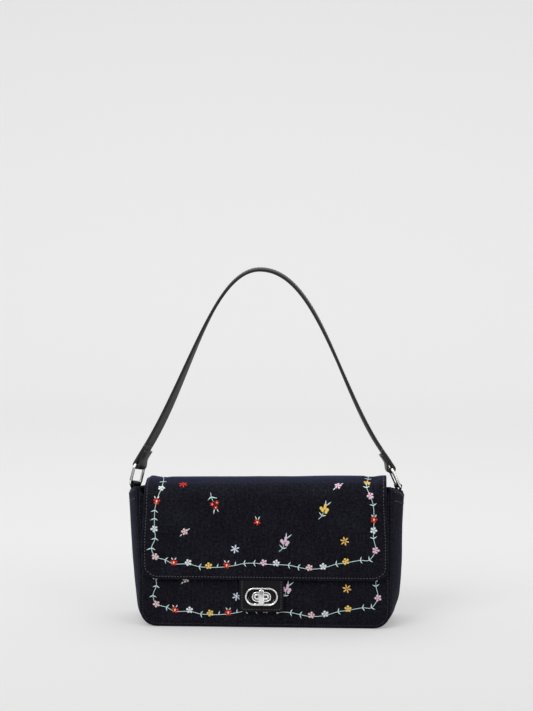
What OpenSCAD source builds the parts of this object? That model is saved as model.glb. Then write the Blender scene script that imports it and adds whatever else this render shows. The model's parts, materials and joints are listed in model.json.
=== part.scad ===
// Baguette shoulder bag: a denim body with a flap, a turn lock and a leather strap on two rings.
// The origin is at the middle of the base. X runs along the bag, the front faces -Y and Z is up.

/* [Bag body] */
// Width of the front and back panels
panel_w = 247.5; // [200:0.5:320]
// Height of the mouth above the ground
body_h = 131; // [110:0.5:170]
// Depth of the bag at its base, over the panels
base_depth = 62; // [50:0.5:90]
// Depth of the bag at its mouth, over the panels
mouth_depth = 53; // [44:0.5:80]
// Radius of the panels' lower corners
corner_r = 17; // [8:0.5:30]
// How far the gussets bulge out at the mouth
gusset_bulge = 13; // [4:0.5:18]
// Thickness of the denim panels with their backing
panel_t = 2.2; // [1.6:0.1:3]
// Thickness of the lining
lining_t = 0.8; // [0.5:0.1:1.2]
// Thickness of the stiff board in the base
board_t = 2; // [1:0.1:3]
// Height of the facing inside the mouth
facing_h = 24; // [15:1:40]
// Height of the gussets' hem
hem_h = 15; // [8:1:25]
// Thickness of the facing and the hem
facing_t = 1; // [0.6:0.1:1.6]

/* [Flap] */
// How far the flap's sides lie inside the panels' edges
flap_inset = 4.95; // [4:0.05:15]
// Height of the flap's top above the mouth
flap_rise = 10; // [9:0.2:16]
// Height of the flap's bottom edge above the ground
flap_bottom = 48.5; // [30:0.5:80]
// Height at which the flap is sewn on behind
flap_root = 98; // [70:1:120]
// Radius of the fold at the back
back_fold_r = 8; // [5:0.5:12]
// Radius of the front shoulder
shoulder_r = 14; // [12:0.5:18]
// Radius of the flap's lower corners
flap_corner_r = 13; // [5:0.5:25]
// Thickness of the flap's denim
flap_ply_t = 2; // [1.2:0.1:3]
// Thickness of the flap's lining
flap_lining_t = 1.2; // [0.8:0.1:2]
// Space between the flap and the front panel
flap_gap = 1.5; // [1.2:0.1:3]

/* [Turn lock] */
// Place of the lock along the bag
lock_x = -3.2; // [-20:0.2:20]
// Height of the lock along the front panel
lock_z = 32; // [26:0.5:40]
// Width of the leather lock tab
lock_tab_w = 43.6; // [38:0.2:60]
// Height of the lock tab's lower edge along the front panel
lock_tab_bottom = 16.3; // [8:0.1:20]
// Thickness of the lock tab
lock_tab_t = 2.4; // [2:0.1:3.5]
// Length of the lock tab's tongue inside the flap
tongue_l = 14; // [8:1:30]
// Radius of the lock tab's lower corners
lock_tab_r = 4; // [1:0.5:8]
// Width of the eyelet
eyelet_w = 32.6; // [28:0.1:36]
// Height of the eyelet
eyelet_h = 18; // [16:0.1:22]
// Width of the eyelet's rim
eyelet_rim = 2.2; // [1.6:0.1:3]
// Thickness of the eyelet's rim
eyelet_t = 2.4; // [1.5:0.1:3.5]
// Thickness of the eyelet's washer plate
washer_t = 0.6; // [0.4:0.1:0.8]
// Width of the lock's plinth
plinth_w = 19; // [16:0.5:22]
// Height of the lock's plinth
plinth_h = 10; // [8:0.5:12]
// Length of the turn bar
bar_l = 16.4; // [15:0.1:19]
// Width of the turn bar
bar_w = 5.6; // [4:0.1:7]
// Thickness of the turn bar
bar_t = 3; // [2:0.1:4]
// Diameter of the turn bar's spindle
spindle_d = 3; // [2:0.1:3.6]
// Diameter of the lock plate's two prongs
prong_d = 2; // [1:0.1:2.4]

/* [Strap and rings] */
// Width of the strap
strap_w = 15; // [10:0.5:17]
// Thickness of the strap
strap_t = 3; // [2:0.1:4]
// Height of the strap's top above the mouth
strap_rise = 222; // [170:1:290]
// How far the crown's curve keeps level to the left
crown_pull_left = 46; // [30:1:60]
// How far the crown's curve keeps level to the right
crown_pull_right = 56; // [30:1:70]
// How far the left end's curve keeps straight
leg_pull_left = 80; // [40:1:100]
// How far the right end's curve keeps straight
leg_pull_right = 75; // [40:1:100]
// How far the strap's top lies to the right of the middle
crown_x = -6; // [-15:0.5:15]
// How far the left end of the strap splays from upright
splay_angle_left = 31; // [18:1:36]
// How far the right end of the strap splays from upright
splay_angle_right = 34; // [18:1:36]
// How far the left end of the strap is twisted
twist_angle_left = 26; // [0:1:30]
// How far the right end of the strap is twisted
twist_angle_right = 11; // [0:1:30]
// Length of the strap's folded ends
fold_l = 20; // [15:0.5:35]
// Diameter of the rings' wire
wire_d = 3; // [2:0.1:4]
// Width inside the rings
ring_w = 18; // [17.5:0.5:24]
// Height of the rings, between the wires' centres
ring_h = 19; // [16:0.5:26]
// How far the rings' lower wires lie outside the panels' edges
ring_out = 6.75; // [4:0.25:9]
// How far the left ring leans in
lean_angle_left = 10; // [0:1:15]
// How far the right ring leans in
lean_angle_right = 24; // [0:1:26]
// Thickness of the leather round the rings' wires
loop_t = 1.9; // [1.4:0.1:2.2]
// Length of the leather tab inside the gusset
tab_l = 24; // [15:1:40]

/* [Zip pocket] */
// Width of the zip pocket
pocket_w = 150; // [100:1:180]
// Height of the zip pocket's bottom along the back panel
pocket_bottom = 30; // [20:1:50]
// How far the zip lies below the mouth
zip_drop = 35; // [29:1:51]
// Width of the zip's tape
tape_w = 16; // [12:1:22]
// Length of the zip's chain
zip_l = 130; // [80:1:140]
// Width of the zip's chain
chain_w = 4; // [3:0.5:6]

/* [Hidden] */

$fn = 48;
// Clearances: between sewn layers, round a running spindle, round a loose wire, and under the ring
layer_gap = 0.2;
spindle_gap = 0.05;
wire_gap = 0.3;
foot_gap = 2.5;
// How far a cut runs past what it cuts
over = 1;
// Colours
denim = [0.10, 0.11, 0.16];
cotton = [0.24, 0.22, 0.22];
leather = [0.07, 0.07, 0.08];
silver = [0.78, 0.78, 0.80];
card = [0.45, 0.42, 0.38];

flap_w = panel_w - 2 * flap_inset;
flap_top = body_h + flap_rise;
ring_x = panel_w / 2 + ring_out;
strap_top = body_h + strap_rise;
// The panels lean in towards the mouth by this angle
lean = atan((base_depth - mouth_depth) / 2 / body_h);
panel_h = body_h / cos(lean);
panel_foot = panel_t * tan(lean);
lining_y = panel_t + layer_gap;
inside_y = lining_y + max(lining_t, facing_t);

// Half the depth over the panels at height z
function half_depth(z) = base_depth / 2 - z * tan(lean);
function unit(v) = v / norm(v);
function smooth(t) = t * t * (3 - 2 * t);

// Frames on the front and the back panel: X along the bag, Y into the bag, Z up the panel
module on_front() {
  translate([0, -base_depth / 2, 0]) rotate([-lean, 0, 0]) children();
}

module on_back() {
  mirror([0, 1, 0]) on_front() children();
}

// An upright plate from its outline, between two depths into the bag
module plate(from, to) {
  translate([0, to, 0]) rotate([90, 0, 0]) linear_extrude(to - from) children();
}

arc_angle = 9;
function arc_points(centre, r, from, to) =
  let (steps = ceil(abs(to - from) / arc_angle))
  [for (i = [0 : steps]) let (a = from + (to - from) * i / steps) centre + r * [cos(a), sin(a)]];
function reversed(list) = [for (i = [len(list) - 1 : -1 : 0]) list[i]];

// An upright outline with round lower corners
module round_bottom(w, low, high, r) {
  polygon(concat(
    [[w / 2, high], [-w / 2, high]],
    arc_points([r - w / 2, low + r], r, 180, 270),
    arc_points([w / 2 - r, low + r], r, 270, 360)
  ));
}

module stadium(w, h) {
  end = (w - h) / 2;
  polygon(concat(arc_points([end, 0], h / 2, -90, 90), arc_points([-end, 0], h / 2, 90, 270)));
}

// Bag body
module panel() {
  plate(0, panel_t) round_bottom(panel_w, panel_foot, panel_h, corner_r);
}

prong_x = plinth_w / 2 + prong_d / 2;
lock_plate_t = 0.6;
plate_edge = 1.5;
plate_lip = 1;
lock_plate_w = plinth_w + 2 * prong_d + 2 * plate_edge;
lock_plate_h = plinth_h + 2 * plate_lip;
back_plate_t = 0.7;
recess_gap = 0.1;
recess_t = back_plate_t + recess_gap;

module lock_holes(gap) {
  for (s = [-1, 1]) translate([s * prong_x, 0]) circle(prong_d / 2 + gap);
  circle(spindle_d / 2 + gap);
}

module at_lock() {
  translate([lock_x, 0, lock_z]) children();
}

module front_panel() {
  color(denim) on_front() difference() {
    panel();
    at_lock() plate(-over, panel_t + over) lock_holes(spindle_gap);
    at_lock() plate(panel_t - recess_t, panel_t + over)
      stadium(lock_plate_w + 2 * layer_gap, lock_plate_h + 2 * layer_gap);
  }
}

module back_panel() {
  color(denim) on_back() panel();
}

// Rows of a gusset from the mouth down and round the lower corner: [x, z, outward x, outward z]
row_steps = 12;
corner_steps = 6;
gusset_steps = 10;
function gusset_rows(high, low) = concat(
  [for (i = [0 : row_steps])
    let (z = high + (max(low, corner_r) - high) * i / row_steps) [panel_w / 2, z, 1, 0]],
  low >= corner_r ? [] : [for (i = [1 : corner_steps])
    let (a = 90 * i / corner_steps)
    [panel_w / 2 - corner_r * (1 - cos(a)), corner_r * (1 - sin(a)), cos(a), -sin(a)]]
);
function bulge(row) = gusset_bulge * sqrt(max(row[1], 0) / body_h) * row[2] * row[2];
// A sheet of the gusset, a depth inside its outer face and an inset inside the panels
function gusset_sheet(rows, deep, inset) = [for (row = rows) [for (j = [0 : gusset_steps])
  let (v = 2 * j / gusset_steps - 1, out = bulge(row) * (1 - v * v) - deep)
  [row[0] + row[2] * out, v * (half_depth(row[1]) - inset), row[1] + row[3] * out]]];

// A closed solid between two sheets of points that have the same rows and columns
module between(outer, inner) {
  rows = len(outer);
  cols = len(outer[0]);
  n = rows * cols;
  points = concat([for (r = outer) each r], [for (r = inner) each r]);
  function at(i, j, side) = side * n + i * cols + j;
  faces = concat(
    [for (i = [0 : rows - 2]) for (j = [0 : cols - 2]) each [
      [at(i, j, 0), at(i, j + 1, 0), at(i + 1, j + 1, 0)],
      [at(i, j, 0), at(i + 1, j + 1, 0), at(i + 1, j, 0)],
      [at(i, j, 1), at(i + 1, j + 1, 1), at(i, j + 1, 1)],
      [at(i, j, 1), at(i + 1, j, 1), at(i + 1, j + 1, 1)]]],
    [for (j = [0 : cols - 2]) each [
      [at(0, j, 0), at(0, j, 1), at(0, j + 1, 1)],
      [at(0, j, 0), at(0, j + 1, 1), at(0, j + 1, 0)],
      [at(rows - 1, j, 0), at(rows - 1, j + 1, 1), at(rows - 1, j, 1)],
      [at(rows - 1, j, 0), at(rows - 1, j + 1, 0), at(rows - 1, j + 1, 1)]]],
    [for (i = [0 : rows - 2]) each [
      [at(i, 0, 0), at(i + 1, 0, 1), at(i, 0, 1)],
      [at(i, 0, 0), at(i + 1, 0, 0), at(i + 1, 0, 1)],
      [at(i, cols - 1, 0), at(i, cols - 1, 1), at(i + 1, cols - 1, 1)],
      [at(i, cols - 1, 0), at(i + 1, cols - 1, 1), at(i + 1, cols - 1, 0)]]]
  );
  polyhedron(points, faces, convexity = 6);
}

module gusset_layer(high, low, deep, thick, inset) {
  rows = gusset_rows(high, low);
  between(gusset_sheet(rows, deep, inset), gusset_sheet(rows, deep + thick, inset));
}

gusset_inset = panel_t / cos(lean) + layer_gap;
inner_inset = inside_y / cos(lean) + layer_gap;
hem_z = body_h - hem_h;

module gusset() {
  color(denim) gusset_layer(body_h, 0, 0, panel_t, gusset_inset);
}

module gusset_lining() {
  color(cotton) gusset_layer(hem_z - layer_gap, 0, lining_y, lining_t, inner_inset);
}

module hem() {
  color(denim) gusset_layer(body_h, hem_z, lining_y, facing_t, inner_inset);
}

module left() {
  mirror([1, 0, 0]) children();
}

flat_l = panel_w - 2 * corner_r - 2 * layer_gap;
board_z = panel_t + layer_gap;
lining_base_z = board_z + board_t + layer_gap;

module base_layer(z, thick, inset) {
  width = 2 * (half_depth(z + thick) - inset);
  translate([-flat_l / 2, -width / 2, z]) cube([flat_l, width, thick]);
}

module base_panel() {
  color(denim) base_layer(0, panel_t, gusset_inset);
}

module base_board() {
  color(card) base_layer(board_z, board_t, inner_inset);
}

module lining_base() {
  color(cotton) base_layer(lining_base_z, lining_t, inner_inset);
}

lining_edge = lining_y + layer_gap;
lining_w = panel_w - 2 * lining_edge;
facing_z = panel_h - facing_h;
module panel_lining() {
  color(cotton) plate(lining_y, lining_y + lining_t)
    round_bottom(lining_w, lining_edge, facing_z - layer_gap, corner_r - lining_edge);
}

module facing() {
  color(denim) plate(lining_y, lining_y + facing_t)
    translate([-lining_w / 2, facing_z]) square([lining_w, facing_h]);
}

// The flap's section, in Y and Z: angles run from the back panel over the top to the front
back_out = layer_gap + flap_ply_t;
front_out = flap_gap + flap_lining_t + layer_gap + flap_ply_t;
back_centre = [
  base_depth / 2 - (back_fold_r - back_out + (flap_top - back_fold_r) * sin(lean)) / cos(lean),
  flap_top - back_fold_r
];
front_centre = [
  (shoulder_r - front_out + (flap_top - shoulder_r) * sin(lean)) / cos(lean) - base_depth / 2,
  flap_top - shoulder_r
];
fold_split_angle = 45;
shoulder_split_angle = 135;
split_gap_angle = 0.4;
// A layer's edge, a depth inside the flap's outer skin
function strip_line(deep) = concat(
  [back_centre + (back_fold_r - deep) * [cos(lean), sin(lean)]
    + (back_centre[1] - flap_root) * [sin(lean), -cos(lean)]],
  arc_points(back_centre, back_fold_r - deep, lean, fold_split_angle - split_gap_angle * 2)
);
function lid_line(deep) = concat(
  arc_points(back_centre, back_fold_r - deep, fold_split_angle, 90),
  arc_points(front_centre, shoulder_r - deep, 90, shoulder_split_angle)
);
flap_l = (front_centre[1] - flap_bottom + shoulder_r * sin(lean)) / cos(lean);
function flap_line(deep) = concat(
  arc_points(front_centre, shoulder_r - deep, shoulder_split_angle + split_gap_angle, 180 - lean),
  [front_centre + (shoulder_r - deep) * [-cos(lean), sin(lean)] + flap_l * [-sin(lean), -cos(lean)]]
);

module section(edge, inner) {
  rotate([90, 0, 90]) translate([0, 0, -flap_w / 2]) linear_extrude(flap_w)
    polygon(concat(edge, reversed(inner)));
}

lining_deep = flap_ply_t + layer_gap;
flap_deep = lining_deep + flap_lining_t;

module flap_back_strip() {
  color(denim) section(strip_line(0), strip_line(flap_ply_t));
}

module lid_outer() {
  color(denim) section(lid_line(0), lid_line(flap_ply_t));
}

module lid_lining() {
  color(cotton) section(lid_line(lining_deep), lid_line(flap_deep));
}

// The height of the flap's bottom edge along the front panel
flap_edge = flap_bottom / cos(lean) + front_out * tan(lean);
module flap_outline(shrink) {
  plate(-base_depth, base_depth) round_bottom(
    flap_w - 2 * shrink, flap_edge + shrink, panel_h + base_depth, flap_corner_r - shrink
  );
}

flap_hem = 2;
module flap_outer() {
  color(denim) intersection() {
    section(flap_line(0), flap_line(flap_ply_t));
    on_front() flap_outline(0);
  }
}

tongue_top = flap_edge + tongue_l;
module flap_lining() {
  color(cotton) difference() {
    intersection() {
      section(flap_line(lining_deep), flap_line(flap_deep));
      on_front() flap_outline(flap_hem);
    }
    on_front() plate(-base_depth, 0) translate([lock_x - lock_tab_w / 2 - layer_gap, 0])
      square([lock_tab_w + 2 * layer_gap, tongue_top + layer_gap]);
  }
}

// Turn lock: depths count outward from the front panel's face
tab_out = flap_gap + lock_tab_t;
rim_out = tab_out + eyelet_t;
plinth_step = 0.2;
plinth_out = rim_out + plinth_step;
bar_gap = 0.3;
hole_w = eyelet_w - 2 * eyelet_rim;
hole_h = eyelet_h - 2 * eyelet_rim;
collar_t = 0.8;
washer_inset = 0.5;
tongue_root = 1;

module lock_tab() {
  color(leather) on_front() difference() {
    union() {
      plate(-tab_out, -flap_gap) translate([lock_x, 0])
        round_bottom(lock_tab_w, lock_tab_bottom, flap_edge - layer_gap, lock_tab_r);
      plate(-flap_gap - flap_lining_t, -flap_gap)
        translate([lock_x - lock_tab_w / 2, flap_edge - tongue_root])
        square([lock_tab_w, tongue_l + tongue_root]);
    }
    at_lock() plate(-tab_out - over, 0) stadium(hole_w + 2 * layer_gap, hole_h + 2 * layer_gap);
  }
}

module eyelet() {
  color(silver) on_front() at_lock() difference() {
    union() {
      plate(-rim_out, -tab_out) stadium(eyelet_w, eyelet_h);
      plate(-tab_out, -flap_gap) stadium(hole_w, hole_h);
    }
    plate(-rim_out - over, 0) stadium(hole_w - 2 * collar_t, hole_h - 2 * collar_t);
  }
}

module eyelet_washer() {
  color(silver) on_front() at_lock() difference() {
    plate(-flap_gap, -flap_gap + washer_t)
      stadium(eyelet_w - 2 * washer_inset, eyelet_h - 2 * washer_inset);
    plate(-flap_gap - over, 0) stadium(hole_w - 2 * collar_t, hole_h - 2 * collar_t);
  }
}

prong_l = panel_t - recess_t + back_plate_t;
module lock_plate() {
  color(silver) on_front() at_lock() difference() {
    union() {
      plate(-lock_plate_t, 0) stadium(lock_plate_w, lock_plate_h);
      plate(-plinth_out, -lock_plate_t) stadium(plinth_w, plinth_h);
      plate(0, prong_l) for (s = [-1, 1]) translate([s * prong_x, 0]) circle(prong_d / 2);
    }
    plate(-plinth_out - over, over) circle(spindle_d / 2 + spindle_gap);
  }
}

module lock_back_plate() {
  color(silver) on_front() at_lock() plate(panel_t - recess_t, panel_t - recess_t + back_plate_t)
    difference() {
      stadium(lock_plate_w, lock_plate_h);
      lock_holes(spindle_gap);
    }
}

// The spindle ends in a spring washer and a clip that lie in a hole in the lining, under a patch
spring_y = panel_t + back_plate_t - recess_t + spindle_gap;
spring_t = 0.3;
clip_y = spring_y + spring_t + spindle_gap;
clip_t = 0.4;
spindle_end = clip_y + clip_t + spindle_gap;
washer_rim = 1.6;
washer_r = spindle_d / 2 + washer_rim;
patch_r = 9;
module lock_axis(from, to, r) {
  on_front() at_lock() plate(from, to) circle(r);
}

module turn_bar() {
  out = plinth_out + bar_gap;
  color(silver) {
    on_front() at_lock() plate(-out - bar_t, -out) rotate(90) stadium(bar_l, bar_w);
    lock_axis(-out - bar_t / 2, spindle_end, spindle_d / 2);
  }
}

module ring_on_spindle(from, to) {
  difference() {
    lock_axis(from, to, washer_r);
    lock_axis(from - over, to + over, spindle_d / 2 + spindle_gap);
  }
}

module lock_spring_washer() {
  color(silver) ring_on_spindle(spring_y, spring_y + spring_t);
}

module spindle_clip() {
  color(silver) ring_on_spindle(clip_y, clip_y + clip_t);
}

module lining_front() {
  difference() {
    on_front() panel_lining();
    lock_axis(0, inside_y + over, washer_r + layer_gap);
  }
}

module lock_patch() {
  start = lining_y + lining_t + layer_gap;
  color(leather) lock_axis(start, start + lining_t, patch_r);
}

// Strap and rings. A side is -1 for the left and 1 for the right.
wire_r = wire_d / 2;
bore_r = wire_r + wire_gap;
loop_r = bore_r + loop_t;
end_loop_t = 2.6;
end_r = bore_r + end_loop_t;
ring_foot_z = body_h + loop_r + foot_gap;
function twist(s) = s < 0 ? twist_angle_left : twist_angle_right;
function ring_foot(s) = [s * ring_x, 0, ring_foot_z];
// Directions at a place where the strap runs down by d: across its face and along its width
function face_dir(s, d, a) = cos(a) * [s * -d[2], 0, s * d[0]] + sin(a) * [0, 1, 0];
function width_dir(s, d, a) = cos(a) * [0, 1, 0] - sin(a) * [s * -d[2], 0, s * d[0]];
function leg_dir(s) =
  let (a = s < 0 ? splay_angle_left : splay_angle_right) [s * sin(a), 0, -cos(a)];
function wire_dir(s) = width_dir(s, leg_dir(s), twist(s));
function ring_up(s) =
  let (a = s < 0 ? lean_angle_left : lean_angle_right, up = [-s * sin(a), 0, cos(a)], w = wire_dir(s))
  unit(up - (up * w) * w);
function ring_head(s) = ring_foot(s) + ring_h * ring_up(s);
function place(x, y, z, o) = [
  [x[0], y[0], z[0], o[0]], [x[1], y[1], z[1], o[1]], [x[2], y[2], z[2], o[2]], [0, 0, 0, 1]
];

module ring(s) {
  side = ring_w / 2 + wire_r;
  color(silver) multmatrix(place(cross(wire_dir(s), ring_up(s)), wire_dir(s), ring_up(s), ring_foot(s))) {
    for (z = [0, ring_h]) {
      translate([0, 0, z]) rotate([90, 0, 0]) cylinder(r = wire_r, h = 2 * side, center = true);
      for (y = [-side, side]) translate([0, y, z]) sphere(wire_r, $fn = 32);
    }
    for (y = [-side, side]) translate([0, y, 0]) cylinder(r = wire_r, h = ring_h);
  }
}

// The folded end of the strap round a ring's upper wire. X is out through its face, Y along its
// width, and Z up the strap.
fold_step = 2;
end_l = fold_l + fold_step;
end_face = end_r - strap_t;
module strap_end(s) {
  d = leg_dir(s);
  n = face_dir(s, d, twist(s));
  fold_face = end_face - end_loop_t;
  color(leather) multmatrix(place(n, wire_dir(s), -d, ring_head(s)))
    rotate([90, 0, 0]) translate([0, 0, -strap_w / 2]) linear_extrude(strap_w) difference() {
      union() {
        circle(end_r);
        polygon([[end_r, 0], [end_r, end_l], [end_face, end_l], [end_face, fold_l],
          [fold_face, fold_l], [fold_face, end_r * 2], [-end_r, 0]]);
      }
      circle(bore_r);
    }
}

// The strap's centre line: a curve from the crown to the top of a folded end
function leg_foot(s) = ring_head(s) - end_l * leg_dir(s)
  + (end_r - strap_t / 2) * face_dir(s, leg_dir(s), twist(s));
function route(s) =
  let (
    level = s < 0 ? crown_pull_left : crown_pull_right,
    straight = s < 0 ? leg_pull_left : leg_pull_right,
    crown = [crown_x, 0, strap_top - strap_t / 2]
  )
  [crown, crown + [s * level, 0, 0], leg_foot(s) - straight * leg_dir(s), leg_foot(s)];
function curve(p, t) =
  pow(1 - t, 3) * p[0] + 3 * t * pow(1 - t, 2) * p[1] + 3 * t * t * (1 - t) * p[2] + t * t * t * p[3];
function heading(p, t) =
  unit(pow(1 - t, 2) * (p[1] - p[0]) + 2 * t * (1 - t) * (p[2] - p[1]) + t * t * (p[3] - p[2]));
twist_start_share = 0.35;
// Four corners of the strap at t, from 0 at the crown to 1 at the folded end
function strap_corners(s, t) =
  let (
    p = route(s), d = heading(p, t), flat = unit([d[0], 0, d[2]]),
    a = twist(s) * smooth(max(0, (t - twist_start_share) / (1 - twist_start_share))),
    n = face_dir(s, flat, a) * strap_t / 2, w = width_dir(s, flat, a) * strap_w / 2, c = curve(p, t)
  )
  [c + n + w, c + n - w, c - n - w, c - n + w];

module bar_through(rings) {
  last = len(rings) - 1;
  points = [for (r = rings) each r];
  faces = concat(
    [[0, 2, 1], [0, 3, 2], [4 * last, 4 * last + 1, 4 * last + 2], [4 * last, 4 * last + 2, 4 * last + 3]],
    [for (i = [0 : last - 1]) for (k = [0 : 3]) each let (a = 4 * i + k, b = 4 * i + (k + 1) % 4)
      [[a, b, b + 4], [a, b + 4, a + 4]]]
  );
  polyhedron(points, faces, convexity = 6);
}

crown_share = 0.42;
crown_steps = 16;
leg_steps = 18;
module strap_crown() {
  color(leather) bar_through(concat(
    [for (i = [crown_steps : -1 : 0]) let (c = strap_corners(-1, crown_share * i / crown_steps))
      [c[1], c[0], c[3], c[2]]],
    [for (i = [1 : crown_steps]) let (c = strap_corners(1, crown_share * i / crown_steps))
      [c[1], c[0], c[3], c[2]]]
  ));
}

module strap_leg(s) {
  rings = [for (i = [0 : leg_steps])
    let (c = strap_corners(s, crown_share + (1 - crown_share) * i / leg_steps)) [c[1], c[0], c[3], c[2]]];
  color(leather) bar_through(s > 0 ? rings : reversed(rings));
}

// A leather tab: a loop round the ring's lower wire, sewn to the inside of the gusset's hem
tab_deep = inside_y + layer_gap;
module ring_tab(s) {
  w = wire_dir(s);
  up = ring_up(s);
  out = s * cross(w, up);
  edge = strap_w / 2 / (half_depth(body_h) - inner_inset);
  neck_x = s * (panel_w / 2 + gusset_bulge * (1 - edge * edge) - tab_deep - loop_t / 2);
  color(leather) difference() {
    union() {
      multmatrix(place(cross(w, up), w, up, ring_foot(s)))
        rotate([90, 0, 0]) cylinder(r = loop_r, h = strap_w, center = true);
      intersection() {
        mirror([s < 0 ? 1 : 0, 0, 0]) gusset_layer(body_h, body_h - tab_l, tab_deep, loop_t, inner_inset);
        cube([2 * panel_w, strap_w, 3 * body_h], center = true);
      }
      hull() {
        multmatrix(place(out, w, cross(out, w), ring_foot(s) + out * (loop_r - loop_t / 2)))
          cube([loop_t, strap_w, loop_t], center = true);
        translate([neck_x, 0, body_h + layer_gap + loop_t / 2])
          cube([loop_t, strap_w, loop_t], center = true);
      }
      translate([neck_x, 0, body_h + layer_gap / 2]) cube([loop_t, strap_w, 5 * layer_gap], center = true);
    }
    multmatrix(place(cross(w, up), w, up, ring_foot(s)))
      rotate([90, 0, 0]) cylinder(r = bore_r, h = 2 * strap_w, center = true);
  }
}

// Zip pocket on the back lining. Depths count into the bag from the back panel's face.
pocket_y = lining_y + lining_t + layer_gap;
pocket_ply = 0.8;
pocket_space = 1.2;
pocket_r = 6;
pocket_seam = 4;
tape_t = 0.6;
chain_y = pocket_y + tape_t;
chain_t = 1.4;
slider_l = 9;
slider_w = 8;
slider_wall = 0.9;
zip_gap = 0.3;
slider_x = zip_l / 2 - slider_l;
puller_l = 22;
puller_w = 5;
puller_t = 1.2;
pin_r = 0.6;
pin_lift = 1;
puller_hole_r = 1;
puller_hole_x = 3;
stop_l = 2;
stop_over = 0.5;
stop_rise = 0.6;
ear_t = 1;
ear_rim = 0.8;
ear_root = 0.2;
zip_z = panel_h - zip_drop;
pocket_top = zip_z - tape_w / 2;

module zip_pocket() {
  color(cotton) on_back() difference() {
    plate(pocket_y, pocket_y + pocket_space + pocket_ply)
      round_bottom(pocket_w, pocket_bottom, pocket_top - layer_gap, pocket_r);
    plate(pocket_y - over, pocket_y + pocket_space)
      round_bottom(pocket_w - 2 * pocket_seam, pocket_bottom + pocket_seam, pocket_top + over,
        pocket_r - pocket_seam / 2);
  }
}

module zip_tape() {
  color(cotton) on_back() plate(pocket_y, pocket_y + tape_t)
    translate([0, zip_z]) square([pocket_w, tape_w], center = true);
}

module zip_chain() {
  color(silver) on_back() plate(chain_y, chain_y + chain_t)
    translate([0, zip_z]) square([zip_l, chain_w], center = true);
}

module zip_stops() {
  color(silver) on_back() for (s = [-1, 1])
    plate(chain_y, chain_y + chain_t + stop_rise)
      translate([s * (zip_l / 2 + zip_gap + stop_l / 2), zip_z])
        square([stop_l, chain_w + 2 * stop_over], center = true);
}

// The slider holds the chain in a channel, and its bridge holds the puller's pin
channel_t = chain_t + zip_gap;
slider_top = chain_y + channel_t + slider_wall;
pin_y = slider_top + pin_r + pin_lift;
ear_z = puller_w / 2 + zip_gap + ear_t / 2;
module zip_slider() {
  color(silver) on_back() translate([slider_x, 0, zip_z]) difference() {
    union() {
      plate(chain_y + zip_gap, slider_top) square([slider_l, slider_w], center = true);
      for (s = [-1, 1]) translate([0, pin_y, s * ear_z])
        cylinder(r = pin_r + ear_rim, h = ear_t, center = true);
      for (s = [-1, 1]) plate(slider_top - ear_root, pin_y) translate([0, s * ear_z])
        square([2 * (pin_r + ear_rim), ear_t], center = true);
    }
    plate(chain_y - over, chain_y + channel_t)
      square([slider_l + 2 * over, chain_w + 2 * zip_gap], center = true);
    translate([0, pin_y, 0]) cylinder(r = pin_r + spindle_gap, h = slider_w + 2 * over, center = true);
  }
}

module zip_puller() {
  reach = ear_z + ear_t / 2;
  color(silver) on_back() translate([slider_x, pin_y, zip_z]) {
    cylinder(r = pin_r, h = 2 * reach, center = true);
    translate([-puller_l, -puller_t / 2, -puller_w / 2]) difference() {
      cube([puller_l, puller_t, puller_w]);
      translate([puller_hole_x, -over, puller_w / 2])
        rotate([-90, 0, 0]) cylinder(r = puller_hole_r, h = puller_t + 2 * over);
    }
  }
}

front_panel();
back_panel();
left() gusset();  // gusset_left
gusset();  // gusset_right
base_panel();
base_board();
lining_front();
on_back() panel_lining();  // lining_back
left() gusset_lining();  // lining_left
gusset_lining();  // lining_right
lining_base();
on_front() facing();  // facing_front
on_back() facing();  // facing_back
left() hem();  // hem_left
hem();  // hem_right
flap_back_strip();
lock_plate();
lock_back_plate();
lock_patch();
turn_bar();
lock_spring_washer();
spindle_clip();
lid_outer();
lid_lining();
flap_outer();
flap_lining();
lock_tab();
eyelet();
eyelet_washer();
ring_tab(-1);  // tab_left
ring_tab(1);  // tab_right
ring(-1);  // ring_left
ring(1);  // ring_right
strap_crown();
strap_leg(-1);  // strap_leg_left
strap_leg(1);  // strap_leg_right
strap_end(-1);  // strap_end_left
strap_end(1);  // strap_end_right
zip_pocket();
zip_tape();
zip_chain();
zip_stops();
zip_slider();
zip_puller();
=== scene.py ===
"""A baguette shoulder bag: embroidered denim body and flap, a turn lock and a leather strap on two rings.

Lengths are in millimetres here and turn into metres when a mesh is made. X runs along the bag, the
front faces -Y and Z is up, as in the frame.
"""
import json
import math
import random

import bmesh
import bpy
import numpy as np
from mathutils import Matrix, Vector, noise

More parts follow.
